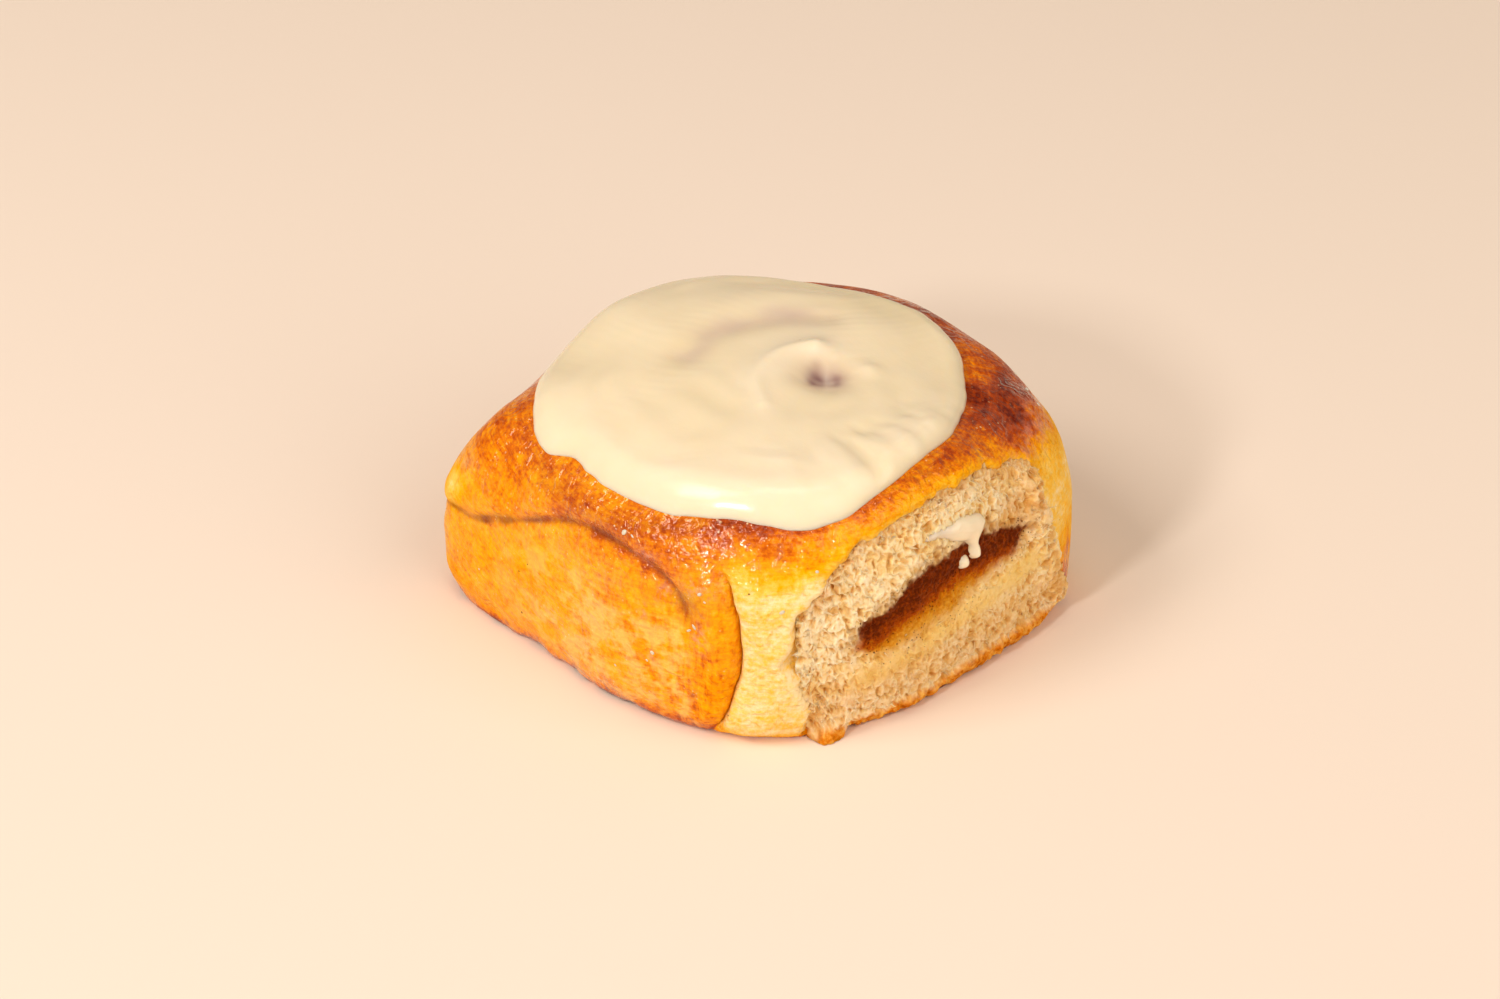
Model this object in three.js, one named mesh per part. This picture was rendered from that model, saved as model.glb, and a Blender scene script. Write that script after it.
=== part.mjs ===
// A pan-baked cinnamon roll: one squarish soft bun, a pool of icing on its crown and a stray splash of icing.
// Millimetres, +Z up. The origin is the middle of the footprint, on the surface that the bun stands on.
// -Y is the smooth glazed side with the end of the dough strip, +X is the side torn away from its neighbour.
import * as THREE from "three";

// Driving dimensions of the bun.
const HALF_WIDTH = 50; // along X
const HALF_DEPTH = 49.6; // along Y
const CROWN_X = -1; // the middle of the crown, a little behind the middle of the footprint
const CROWN_HEIGHT = 51.5; // where the dome would peak with no icing pressing on it
const BELLY_HEIGHT = 7.4; // the level of the widest outline
// How far the rounded foot pulls in under the belly, at eight azimuths from -135 degrees on, every 45.
const FOOT_INSET = [6.2, 5.2, 5, 3.2, 3.2, 3.2, 3.2, 4.4];
const CROWN_SAG = { depth: 2.2, flatTo: 30, goneAt: 50 }; // how the crown sinks under the icing

// Squareness of each corner of the outline: 2 is round, higher is squarer.
const CORNER_SQUARENESS = { frontLeft: 8.5, frontRight: 2.4, backRight: 4, backLeft: 2.9 };
// Softness of the shoulder at the same eight azimuths: 0.3 is boxy, 0.8 is a long slope.
const SHOULDER_SOFTNESS = [0.78, 0.6, 0.5, 0.32, 0.56, 0.35, 0.56, 0.38];

// The end of the dough strip on the -Y side: it rises from the left corner, runs along and drops to the foot.
const STRIP_END = [
  [-44, 21], [-32, 23], [-18, 29.5], [-6, 34.5], [6, 35.2], [17, 33.5], [24, 27], [26.5, 12], [26.5, 2],
];
const STRIP_GROOVE_DEPTH = 1.7;
const STRIP_GROOVE_WIDTH = 4;

// The crease in the rounded front right corner.
const CORNER_CREASE = { azimuth: -52.5, lean: 4, from: 4, to: 37, depth: 2, width: 3.4 };

// The torn patch on the +X side, as an outline in Y and Z, and how far the crumb lies behind the crust.
const TORN_OUTLINE = [
  [-34, 17], [-32, 29], [-25, 37.5], [-13, 43.5], [3, 45], [16, 42.5], [24, 38],
  [27, 27], [32, 12], [34, 4], [-24, 3], [-31, 8],
];
const TORN_DEPTH = 1.4;
const TORN_EDGE = 3;

// The spiral of the rolled strip, which shows as a groove on the crown.
const SPIRAL = { pitch: 13, depth: 1.2, width: 3, from: 6, to: 37 };

// Driving dimensions of the icing.
const ICING_CENTRE = [-3.2, 0];
const ICING_RADIUS = 43;
const ICING_THICKNESS = 3.1;
const ICING_RIM_WIDTH = 5; // how far in from its edge the icing rounds off
const GAP = 0.35; // between the icing and the bun
// Where the icing has run further or less far: azimuth and spread in degrees, reach in mm.
const ICING_LOBES = [
  { azimuth: -30, spread: 24, reach: 4.6 },
  { azimuth: -130, spread: 20, reach: 1 },
  { azimuth: -92, spread: 16, reach: -2.6 },
  { azimuth: 52, spread: 42, reach: -3 },
  { azimuth: 112, spread: 28, reach: -6 },
  { azimuth: 175, spread: 30, reach: -2 },
];

// The splash of icing on the torn side, with a drip that hangs down: its outline in Y and Z, anticlockwise.
const SPLASH_OUTLINE = [
  [-4.5, 37.6], [-1.5, 35.6], [2, 33.8], [4.6, 32], [4.8, 30], [5.6, 28.6], [6.8, 29.2],
  [7, 32], [8, 33.8], [9, 35.6], [8, 37], [5.2, 37.8], [2, 38.6], [-1, 38.4],
];
const SPLASH_CENTRE = [5.4, 34.6];
const SPLASH_THICKNESS = 1.3;
// The rings of the splash, from the middle of its back round its edge to its front: share of the way to the
// outline, and share of the thickness.
const SPLASH_RINGS = [[0.5, 0], [0.94, 0], [1, 0.3], [0.9, 0.62], [0.7, 0.84], [0.4, 0.96]];

// Grid sizes.
const BUN_COLUMNS = 100;
const FOOT_RINGS = 4;
const BODY_RINGS = 28;
const ICING_COLUMNS = 64;
const ICING_TOP_RINGS = 12;
const ICING_UNDER_RINGS = 14;

const radians = THREE.MathUtils.degToRad;
const TAU = 2 * Math.PI;

// A smooth value round the bun from one number for each of eight azimuths, the first at -135 degrees.
function around(values, azimuth) {
  const u = (((azimuth + 0.75 * Math.PI) / (Math.PI / 4)) % 8 + 8) % 8;
  const i = Math.floor(u);
  const share = THREE.MathUtils.smoothstep(u - i, 0, 1);
  return values[i] * (1 - share) + values[(i + 1) % 8] * share;
}

// How far a bell of height 1 at 0 has fallen off at a distance.
function bell(distance, width) {
  return Math.exp(-((distance / width) ** 2));
}

// The smallest turn between two angles.
function turnBetween(a, b) {
  return Math.abs(((a - b + Math.PI) % TAU + TAU) % TAU - Math.PI);
}

// The widest outline, measured from the crown's middle: a superellipse whose power differs by corner.
function outlineRadius(azimuth) {
  const c = Math.cos(azimuth);
  const s = Math.sin(azimuth);
  const q = CORNER_SQUARENESS;
  const power = s < 0 ? (c < 0 ? q.frontLeft : q.frontRight) : (c < 0 ? q.backLeft : q.backRight);
  const halfWidth = HALF_WIDTH - Math.sign(c) * CROWN_X;
  return (Math.abs(c / halfWidth) ** power + Math.abs(s / HALF_DEPTH) ** power) ** (-1 / power);
}

// The spiral groove's depth at a point of the crown.
function spiralGroove(x, y) {
  const r = Math.hypot(x - CROWN_X, y);
  if (r < SPIRAL.from || r > SPIRAL.to) return 0;
  const turns = r / SPIRAL.pitch - Math.atan2(y, x - CROWN_X) / TAU;
  const offset = (turns - Math.round(turns)) * SPIRAL.pitch;
  return SPIRAL.depth * bell(offset, SPIRAL.width);
}

// The height of the bun's upper side over a point of the table.
function crownHeight(x, y) {
  const azimuth = Math.atan2(y, x - CROWN_X);
  const reach = Math.min(1, Math.hypot(x - CROWN_X, y) / outlineRadius(azimuth));
  const softness = around(SHOULDER_SOFTNESS, azimuth);
  const lift = Math.sqrt(Math.max(0, 1 - reach ** (2 / softness))) ** softness;
  const { depth, flatTo, goneAt } = CROWN_SAG;
  const fromIcing = Math.hypot(x - ICING_CENTRE[0], y - ICING_CENTRE[1]);
  const sag = depth * (1 - THREE.MathUtils.smoothstep(fromIcing, flatTo, goneAt));
  return BELLY_HEIGHT + (CROWN_HEIGHT - BELLY_HEIGHT) * lift - sag;
}

// The distance from a point to a line through points, and the signed one to a closed outline, which is
// negative inside it.
function distanceToPath(u, v, path) {
  let nearest = Infinity;
  for (let i = 0; i + 1 < path.length; i++) {
    const [au, av] = path[i];
    const [bu, bv] = path[i + 1];
    const along = ((u - au) * (bu - au) + (v - av) * (bv - av)) / ((bu - au) ** 2 + (bv - av) ** 2);
    const t = THREE.MathUtils.clamp(along, 0, 1);
    nearest = Math.min(nearest, Math.hypot(u - au - t * (bu - au), v - av - t * (bv - av)));
  }
  return nearest;
}

function distanceToOutline(u, v, outline) {
  let inside = false;
  outline.forEach(([au, av], i) => {
    const [bu, bv] = outline[(i + 1) % outline.length];
    if (av > v !== bv > v && u < au + ((v - av) / (bv - av)) * (bu - au)) inside = !inside;
  });
  const distance = distanceToPath(u, v, [...outline, outline[0]]);
  return inside ? -distance : distance;
}

// How far the side is pressed in at a point: strip end, corner crease and torn patch.
function sideRecess(point, azimuth) {
  let recess = 0;
  if (point.y < -0.5 * HALF_DEPTH) {
    const distance = distanceToPath(point.x, point.z, STRIP_END);
    recess += STRIP_GROOVE_DEPTH * bell(distance, STRIP_GROOVE_WIDTH);
  }
  const { azimuth: at, lean, from, to, depth, width } = CORNER_CREASE;
  const middle = (from + to) / 2;
  const bow = lean * (1 - ((point.z - middle) / (to - middle)) ** 2);
  const across = turnBetween(azimuth, radians(at + bow - lean / 2)) * HALF_WIDTH;
  const risesIn = THREE.MathUtils.smoothstep(point.z, 0, from);
  const fadesOut = 1 - THREE.MathUtils.smoothstep(point.z, to - 4, to + 2);
  recess += depth * bell(across, width) * risesIn * fadesOut;
  if (point.x > 0.5 * HALF_WIDTH) {
    const distance = distanceToOutline(point.y, point.z, TORN_OUTLINE);
    recess += TORN_DEPTH * (1 - THREE.MathUtils.smoothstep(distance, -TORN_EDGE, 0));
  }
  return recess;
}

// A point of the bun's upper and side surface. Its angle over the belly runs from 0 to a quarter turn, at the
// middle of the crown.
function bodyPoint(azimuth, angle) {
  const softness = around(SHOULDER_SOFTNESS, azimuth);
  const level = Math.abs(Math.cos(angle)) ** (2 / softness);
  const upright = Math.abs(Math.sin(angle)) ** (2 / softness);
  const radius = outlineRadius(azimuth) * Math.cos(angle) * (level + upright) ** (-softness / 2);
  const x = CROWN_X + radius * Math.cos(azimuth);
  const y = radius * Math.sin(azimuth);
  const point = new THREE.Vector3(x, y, crownHeight(x, y) - spiralGroove(x, y));
  const recess = sideRecess(point, azimuth);
  return point.addScaledVector(new THREE.Vector3(-Math.cos(azimuth), -Math.sin(azimuth), 0), recess);
}

// A point of the rounded foot. turn goes from 0 at the belly to a quarter turn on the table.
function footPoint(azimuth, turn) {
  const inward = new THREE.Vector3(-Math.cos(azimuth), -Math.sin(azimuth), 0);
  const inset = around(FOOT_INSET, azimuth) * (1 - Math.cos(turn));
  const point = bodyPoint(azimuth, 0).addScaledVector(inward, inset);
  return point.setZ(BELLY_HEIGHT * (1 - Math.sin(turn)));
}

// A closed surface through rings of equal length, with one point at each end, its faces pointing outwards
// when the rings run from the underside's middle to the top's and each ring runs anticlockwise from above.
function closedSkin(firstPoint, rings, lastPoint) {
  const columns = rings[0].length;
  const points = [firstPoint, ...rings.flat(), lastPoint];
  const at = (ring, column) => 1 + ring * columns + (column % columns);
  const last = points.length - 1;
  const faces = [];
  for (let c = 0; c < columns; c++) {
    faces.push(0, at(0, c + 1), at(0, c));
    for (let r = 0; r + 1 < rings.length; r++) {
      faces.push(at(r, c), at(r, c + 1), at(r + 1, c + 1));
      faces.push(at(r, c), at(r + 1, c + 1), at(r + 1, c));
    }
    faces.push(at(rings.length - 1, c), at(rings.length - 1, c + 1), last);
  }
  const geometry = new THREE.BufferGeometry().setFromPoints(points);
  geometry.setIndex(faces);
  geometry.computeVertexNormals();
  return geometry;
}

function ringOf(columns, pointAt) {
  return Array.from({ length: columns }, (_, c) => pointAt(-Math.PI + (TAU * c) / columns));
}

function bunGeometry() {
  const rings = [];
  for (let r = 0; r < FOOT_RINGS; r++) {
    const turn = (Math.PI / 2) * (1 - r / FOOT_RINGS);
    rings.push(ringOf(BUN_COLUMNS, (azimuth) => footPoint(azimuth, turn)));
  }
  for (let r = 0; r < BODY_RINGS; r++) {
    const angle = (Math.PI / 2) * (r / BODY_RINGS);
    rings.push(ringOf(BUN_COLUMNS, (azimuth) => bodyPoint(azimuth, angle)));
  }
  return closedSkin(new THREE.Vector3(CROWN_X, 0, 0), rings, bodyPoint(0, Math.PI / 2));
}

// How far the icing reaches from its middle.
function icingRadius(azimuth) {
  return ICING_LOBES.reduce((radius, lobe) => {
    const turn = turnBetween(azimuth, radians(lobe.azimuth));
    return radius + lobe.reach * bell(turn, radians(lobe.spread));
  }, ICING_RADIUS);
}

// A point of the icing: share 0 is its middle and 1 its edge, and lift is its height above the bun.
function icingPoint(azimuth, share, lift) {
  const radius = icingRadius(azimuth) * share;
  const x = ICING_CENTRE[0] + radius * Math.cos(azimuth);
  const y = ICING_CENTRE[1] + radius * Math.sin(azimuth);
  return new THREE.Vector3(x, y, crownHeight(x, y) + lift);
}

function icingGeometry() {
  const rings = [];
  for (let r = 1; r <= ICING_UNDER_RINGS; r++) {
    const share = (1 - (1 - r / ICING_UNDER_RINGS) ** 1.5) * (1 - 0.3 * (ICING_RIM_WIDTH / ICING_RADIUS));
    rings.push(ringOf(ICING_COLUMNS, (azimuth) => icingPoint(azimuth, share, GAP)));
  }
  for (let r = 0; r < ICING_TOP_RINGS; r++) {
    // The edge turns over like a quarter of an ellipse, and the rest is level.
    const turn = (Math.PI / 2) * Math.min(1, (r + 0.6) / (0.45 * ICING_TOP_RINGS));
    const rim = 1 - (ICING_RIM_WIDTH / ICING_RADIUS) * (1 - Math.cos(turn));
    const inward = Math.max(0, r + 0.6 - 0.45 * ICING_TOP_RINGS) / (0.55 * ICING_TOP_RINGS);
    const lift = GAP + ICING_THICKNESS * Math.sin(turn);
    rings.push(ringOf(ICING_COLUMNS, (azimuth) => icingPoint(azimuth, rim * (1 - 0.95 * inward), lift)));
  }
  return closedSkin(icingPoint(0, 0, GAP), rings, icingPoint(0, 0, GAP + ICING_THICKNESS));
}

// The torn side's X at a place along Y and a height, found by walking up the side.
function tornSideX(y, z) {
  const azimuth = Math.atan2(y, HALF_WIDTH - CROWN_X);
  const steps = 400;
  let below = bodyPoint(azimuth, 0);
  for (let i = 1; i <= steps; i++) {
    const point = bodyPoint(azimuth, (Math.PI / 2) * (i / steps));
    if (point.z >= z) return THREE.MathUtils.mapLinear(z, below.z, point.z, below.x, point.x);
    below = point;
  }
  return below.x;
}

// A drop that lies on the torn side: its back follows the side and its front domes out.
function splashGeometry() {
  const [centreY, centreZ] = SPLASH_CENTRE;
  const pointAt = (y, z, lift) => new THREE.Vector3(tornSideX(y, z) + GAP + lift * SPLASH_THICKNESS, y, z);
  const rings = SPLASH_RINGS.map(([share, lift]) => SPLASH_OUTLINE.map(([y, z]) => (
    pointAt(centreY + share * (y - centreY), centreZ + share * (z - centreZ), lift)
  )));
  return closedSkin(pointAt(centreY, centreZ, 0), rings, pointAt(centreY, centreZ, 1));
}

function named(name, geometry, color, roughness) {
  const mesh = new THREE.Mesh(geometry, new THREE.MeshStandardMaterial({ color, roughness, metalness: 0 }));
  mesh.name = name;
  return mesh;
}

const roll = new THREE.Group();
roll.add(named("bun", bunGeometry(), 0xd98a2b, 0.45));
roll.add(named("icing", icingGeometry(), 0xf3dfb4, 0.3));

roll.add(named("icing_splash", splashGeometry(), 0xf0dcc4, 0.3));

export default roll;
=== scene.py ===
"""A pan-baked cinnamon roll with a spread of icing on its crown.

The bun stands on its baked base. Its -Y side is smooth and glazed and shows the end of the rolled
dough strip, and its +X side was torn from a neighbour and shows crumb and filling. Every shape here
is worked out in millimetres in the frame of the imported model, as whole arrays over a grid, and goes
into Blender in metres.
"""

import itertools
import logging
import math
from dataclasses import dataclass, field
from enum import Enum

import bpy
import numpy as np
from mathutils import Matrix, Vector


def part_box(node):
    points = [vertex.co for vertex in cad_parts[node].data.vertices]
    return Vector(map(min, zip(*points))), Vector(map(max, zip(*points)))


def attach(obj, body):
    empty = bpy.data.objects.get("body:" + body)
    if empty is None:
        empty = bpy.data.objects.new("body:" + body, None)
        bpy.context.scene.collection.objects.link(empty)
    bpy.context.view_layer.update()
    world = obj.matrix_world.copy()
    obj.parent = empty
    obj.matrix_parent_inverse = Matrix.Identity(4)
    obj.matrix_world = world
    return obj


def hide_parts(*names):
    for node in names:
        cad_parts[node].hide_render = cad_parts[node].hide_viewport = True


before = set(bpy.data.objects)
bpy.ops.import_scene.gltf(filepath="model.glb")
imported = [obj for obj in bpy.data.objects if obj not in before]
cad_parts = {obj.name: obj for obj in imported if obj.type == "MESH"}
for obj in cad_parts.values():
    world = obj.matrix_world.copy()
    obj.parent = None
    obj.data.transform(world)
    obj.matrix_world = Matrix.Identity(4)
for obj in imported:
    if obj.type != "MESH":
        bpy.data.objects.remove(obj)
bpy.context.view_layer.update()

LOG = logging.getLogger("cinnamon_roll")
MM = 0.001

Array = np.ndarray
Socket = bpy.types.NodeSocket
Outline = tuple[tuple[float, float], ...]
Directions = tuple[float, float, float, float, float, float, float, float]
Bump = tuple[float, float, float]
Stops = tuple[tuple[float, str], ...]


# ----------------------------------------------------------------------------
# Curves, masks and noise
# ----------------------------------------------------------------------------


def smoothstep(low: float, high: float, value: Array) -> Array:
    """A rise from 0 at low to 1 at high, or a fall: 3t^2 - 2t^3 with t clipped to 0..1."""
    t = np.clip((np.asarray(value) - low) / (high - low), 0.0, 1.0)
    return t * t * (3.0 - 2.0 * t)


def bell(distance: Array, width: float) -> Array:
    """A bell of height 1 at distance 0: exp(-(distance / width)^2)."""
    return np.exp(-((np.asarray(distance) / width) ** 2))


def mix(a: Array, b: Array, share: Array) -> Array:
    """a where share is 0, b where it is 1, and between them in proportion."""
    return a + (b - a) * share


def bumps(distance: Array, *parts: Bump) -> Array:
    """A cross section: the sum of bells, each with its height, its place across and its width."""
    return sum(height * bell(distance - place, width) for height, place, width in parts)


def spot(u: Array, v: Array, middle: tuple[float, float], widths: tuple[float, float]) -> Array:
    """A soft oval of height 1: exp(-((u - middle) / width)^2 - ((v - middle) / width)^2)."""
    return np.exp(-(((u - middle[0]) / widths[0]) ** 2 + ((v - middle[1]) / widths[1]) ** 2))


def degrees_apart(azimuth: Array, other: float) -> Array:
    """The turn from one direction to another, in -180..180 degrees."""
    return np.mod(azimuth - other + 180.0, 360.0) - 180.0


def line_at(points: Outline, where: Array) -> Array:
    """The height of a bent line at places along it, level past its ends."""
    return np.interp(where, *np.array(points, float).T)


def lattice_random(cell: Array, salt: int) -> Array:
    """A fixed number in 0..1 for each cell of a cubic lattice, by integer hashing.

    Args:
        cell: Whole-number cells, with X, Y and Z in the last axis.
        salt: Picks one of many independent patterns.

    Returns:
        One number for each cell.
    """
    c = cell.astype(np.int64)
    primes = (73856093, 19349663, 83492791)
    h = np.full(c.shape[:-1], salt * 2654435761)
    for axis, prime in enumerate(primes):
        h = h ^ (c[..., axis] * prime)
    h &= 0xFFFFFFFF
    for _ in range(2):
        h = ((h ^ (h >> 16)) * 0x45D9F3B) & 0xFFFFFFFF
    return (h ^ (h >> 16)) / 0xFFFFFFFF


def noise(points: Array, size: float, salt: int = 0) -> Array:
    """Smooth noise in -1..1: random values at the corners of cubes, blended by 6t^5 - 15t^4 +
    10t^3.

    Args:
        points: Places in millimetres.
        size: The side of a cube in millimetres.
        salt: Picks the pattern.

    Returns:
        One number for each place.
    """
    p = points / size
    cell = np.floor(p)
    f = p - cell
    w = f * f * f * (f * (f * 6.0 - 15.0) + 10.0)
    total = np.zeros(points.shape[:-1])
    for corner in itertools.product((0, 1), repeat=3):
        weight = np.prod(np.where(np.array(corner, bool), w, 1.0 - w), axis=-1)
        total += weight * lattice_random(cell + np.array(corner), salt)
    return 2.0 * total - 1.0


def layered_noise(points: Array, size: float, layers: int = 4, salt: int = 0) -> Array:
    """Noise in about -1..1 with layers, each of half the size and strength of the last."""
    total = sum(noise(points, size / 2**i, salt + 17 * i) / 2**i for i in range(layers))
    return total / (2.0 - 2.0 ** (1 - layers))


def cell_distance(points: Array, size: float, salt: int = 0) -> tuple[Array, Array]:
    """The distance to the nearest of randomly placed points, one in each cube of a lattice.

    Args:
        points: Places in millimetres.
        size: The side of a cube in millimetres.
        salt: Picks the pattern.

    Returns:
        The distance in cube sides, and a random number in 0..1 that is the same all round each
        point.
    """
    p = points / size
    cell = np.floor(p)
    nearest = np.full(points.shape[:-1], 9.0)
    tag = np.zeros(points.shape[:-1])
    for step in itertools.product((-1, 0, 1), repeat=3):
        other = cell + np.array(step)
        place = other + np.stack([lattice_random(other, salt + k) for k in range(3)], axis=-1)
        distance = np.linalg.norm(place - p, axis=-1)
        closer = distance < nearest
        nearest = np.where(closer, distance, nearest)
        tag = np.where(closer, lattice_random(other, salt + 3), tag)
    return nearest, tag


def smooth_curve(points: Outline, closed: bool, steps: int = 8) -> Array:
    """A Catmull-Rom curve through points of a plane.

    Args:
        points: The points that the curve passes through.
        closed: Whether it comes back to its first point.
        steps: How many stretches are drawn between two points.

    Returns:
        The drawn curve's points, with the first one again at the end of a closed curve.
    """
    p = np.array(points, float)
    if closed:
        p = np.vstack([p[-1], p, p[0], p[1]])
    else:
        p = np.vstack([2 * p[0] - p[1], p, 2 * p[-1] - p[-2]])
    t = (np.arange(steps) / steps)[:, None]
    a, b, c, d = p[:-3, None], p[1:-2, None], p[2:-1, None], p[3:, None]
    square, cube = 2 * a - 5 * b + 4 * c - d, 3 * b - a - 3 * c + d
    drawn = 0.5 * (2 * b + (c - a) * t + square * t**2 + cube * t**3)
    return np.vstack([drawn.reshape(-1, 2), p[-2]])


def distance_to_curve(u: Array, v: Array, curve: Array) -> tuple[Array, Array, Array]:
    """How far places of a plane are from a drawn curve.

    Args:
        u: The places' first coordinate.
        v: The places' second coordinate.
        curve: The drawn curve's points.

    Returns:
        The distance, the side (1 to the left of the curve's direction, -1 to the right) and how far
        along the curve the nearest point is, from 0 to 1.
    """
    best = np.full(np.shape(u), 1e9)
    side = np.ones(np.shape(u))
    along = np.zeros(np.shape(u))
    count = len(curve) - 1
    for i in range(count):
        a, ab = curve[i], curve[i + 1] - curve[i]
        du, dv = u - a[0], v - a[1]
        t = np.clip((du * ab[0] + dv * ab[1]) / max(float(ab @ ab), 1e-9), 0.0, 1.0)
        distance = np.hypot(du - t * ab[0], dv - t * ab[1])
        closer = distance < best
        best = np.where(closer, distance, best)
        side = np.where(closer, np.sign(ab[0] * dv - ab[1] * du), side)
        along = np.where(closer, (i + t) / count, along)
    return best, side, along


def signed_distance(u: Array, v: Array, outline: Array) -> Array:
    """The distance from places of a plane to a closed outline, negative inside it.

    Args:
        u: The places' first coordinate.
        v: The places' second coordinate.
        outline: The drawn outline, whose last point is its first.

    Returns:
        The signed distance.
    """
    inside = np.zeros(np.shape(u), bool)
    for a, b in zip(outline[:-1], outline[1:]):
        crosses = (a[1] > v) != (b[1] > v)
        slope = (b[0] - a[0]) / (b[1] - a[1]) if b[1] != a[1] else 0.0
        inside ^= crosses & (u < a[0] + (v - a[1]) * slope)
    distance = distance_to_curve(u, v, outline)[0]
    return np.where(inside, -distance, distance)


def around(values: Directions, azimuth: Array) -> Array:
    """A smooth value round the bun from one number for each of eight azimuths.

    Args:
        values: The values at -135, -90, -45, 0, 45, 90, 135 and 180 degrees.
        azimuth: Where the value is wanted, in radians.

    Returns:
        The value at each azimuth.
    """
    u = np.mod((azimuth + 0.75 * np.pi) / (0.25 * np.pi), 8.0)
    i = np.floor(u).astype(int) % 8
    share = smoothstep(0.0, 1.0, u - np.floor(u))
    table = np.array(values)
    return mix(table[i], table[(i + 1) % 8], share)


def grid_normals(points: Array, wraps: bool) -> Array:
    """Outward unit normals of a grid whose rings rise and whose columns run anticlockwise from
    above.

    Args:
        points: The grid's points, as rings, columns and X, Y, Z.
        wraps: Whether the last column meets the first.

    Returns:
        The normals, in the same layout: the cross product of the step along a ring and the step to
        the next ring.
    """
    if wraps:
        along = np.roll(points, -1, axis=1) - np.roll(points, 1, axis=1)
    else:
        along = np.gradient(points, axis=1)
    rising = np.gradient(points, axis=0)
    normal = np.cross(along, rising)
    return normal / np.maximum(np.linalg.norm(normal, axis=-1, keepdims=True), 1e-9)


# ----------------------------------------------------------------------------
# Meshes
# ----------------------------------------------------------------------------


def mesh_object(
    name: str, points: Array, faces: list[Array], marks: dict[str, Array]
) -> bpy.types.Object:
    """A smooth-shaded mesh object with its place in its mesh.

    Args:
        name: The piece's name.
        points: Places in millimetres.
        faces: Arrays of corner numbers, one row for each face.
        marks: Numbers for each point, kept as attributes for the materials.

    Returns:
        The new object, linked to the scene.
    """
    mesh = bpy.data.meshes.new(name)
    sizes = np.concatenate([np.full(len(f), f.shape[1]) for f in faces])
    corners = np.concatenate([f.ravel() for f in faces])
    mesh.vertices.add(len(points))
    mesh.vertices.foreach_set("co", (points * MM).ravel())
    mesh.loops.add(len(corners))
    mesh.loops.foreach_set("vertex_index", corners)
    mesh.polygons.add(len(sizes))
    mesh.polygons.foreach_set("loop_start", np.concatenate([[0], np.cumsum(sizes)[:-1]]))
    mesh.update(calc_edges=True)
    mesh.validate()
    mesh.polygons.foreach_set("use_smooth", np.ones(len(sizes), bool))
    for mark, values in marks.items():
        attribute = mesh.attributes.new(mark, "FLOAT", "POINT")
        attribute.data.foreach_set("value", np.asarray(values, float).ravel())
    mesh.update()
    piece = bpy.data.objects.new(name, mesh)
    bpy.context.scene.collection.objects.link(piece)
    return piece


def round_skin(
    name: str, low: Array, grid: Array, high: Array, marks: dict[str, Array]
) -> bpy.types.Object:
    """A closed piece from rings of points that wrap round, closed by one point at each end.

    Args:
        name: The piece's name.
        low: The point that closes the first ring.
        grid: The rings, as rings, columns and X, Y, Z. They run anticlockwise from above and rise.
        high: The point that closes the last ring.
        marks: Numbers for each grid point, as rings and columns.

    Returns:
        The new object.
    """
    rings, columns = grid.shape[:2]
    number = 1 + np.arange(rings * columns).reshape(rings, columns)
    following = np.roll(number, -1, axis=1)
    quads = np.stack([number[:-1], following[:-1], following[1:], number[1:]], axis=-1)
    last = rings * columns + 1
    start = np.stack([np.zeros(columns, int), following[0], number[0]], axis=-1)
    end = np.stack([number[-1], following[-1], np.full(columns, last)], axis=-1)
    points = np.vstack([low, grid.reshape(-1, 3), high])
    padded = {
        mark: np.concatenate([[values[0].mean()], values.ravel(), [values[-1].mean()]])
        for mark, values in marks.items()
    }
    return mesh_object(name, points, [quads.reshape(-1, 4), start, end], padded)


def slab_skin(name: str, grid: Array, back: Array, marks: dict[str, Array]) -> bpy.types.Object:
    """A closed piece with a detailed front, whose edge runs back to one hidden point.

    Args:
        name: The piece's name.
        grid: The front, as rows, columns and X, Y, Z. Seen from outside, the columns run right and
            the rows rise.
        back: The hidden point behind the front.
        marks: Numbers for each grid point, as rows and columns.

    Returns:
        The new object.
    """
    rows, columns = grid.shape[:2]
    number = np.arange(rows * columns).reshape(rows, columns)
    lower, higher = number[:-1], number[1:]
    quads = np.stack([lower[:, :-1], lower[:, 1:], higher[:, 1:], higher[:, :-1]], axis=-1)
    edge = np.concatenate([number[0, :-1], number[:-1, -1], number[-1, :0:-1], number[:0:-1, 0]])
    closing = np.stack([np.roll(edge, -1), edge, np.full(len(edge), rows * columns)], axis=-1)
    points = np.vstack([grid.reshape(-1, 3), back])
    padded = {k: np.append(v.ravel(), 0.0) for k, v in marks.items()}
    return mesh_object(name, points, [quads.reshape(-1, 4), closing], padded)


def many_shapes(name: str, shapes: Array, marks: dict[str, Array]) -> bpy.types.Object:
    """One piece that holds many small closed shapes, each a tube of rings with closed ends.

    Args:
        name: The piece's name.
        shapes: The tubes, as shapes, rings, columns and X, Y, Z.
        marks: One number for each shape, kept on all of its points.

    Returns:
        The new object.
    """
    count, rings, columns = shapes.shape[:3]
    number = np.arange(count * rings * columns).reshape(count, rings, columns)
    following = np.roll(number, -1, axis=2)
    quads = np.stack([number[:, :-1], following[:, :-1], following[:, 1:], number[:, 1:]], axis=-1)
    start = number[:, 0, ::-1]
    end = number[:, -1]
    padded = {k: np.repeat(v, rings * columns) for k, v in marks.items()}
    return mesh_object(name, shapes.reshape(-1, 3), [quads.reshape(-1, 4), start, end], padded)


# ----------------------------------------------------------------------------
# Materials
# ----------------------------------------------------------------------------


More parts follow.
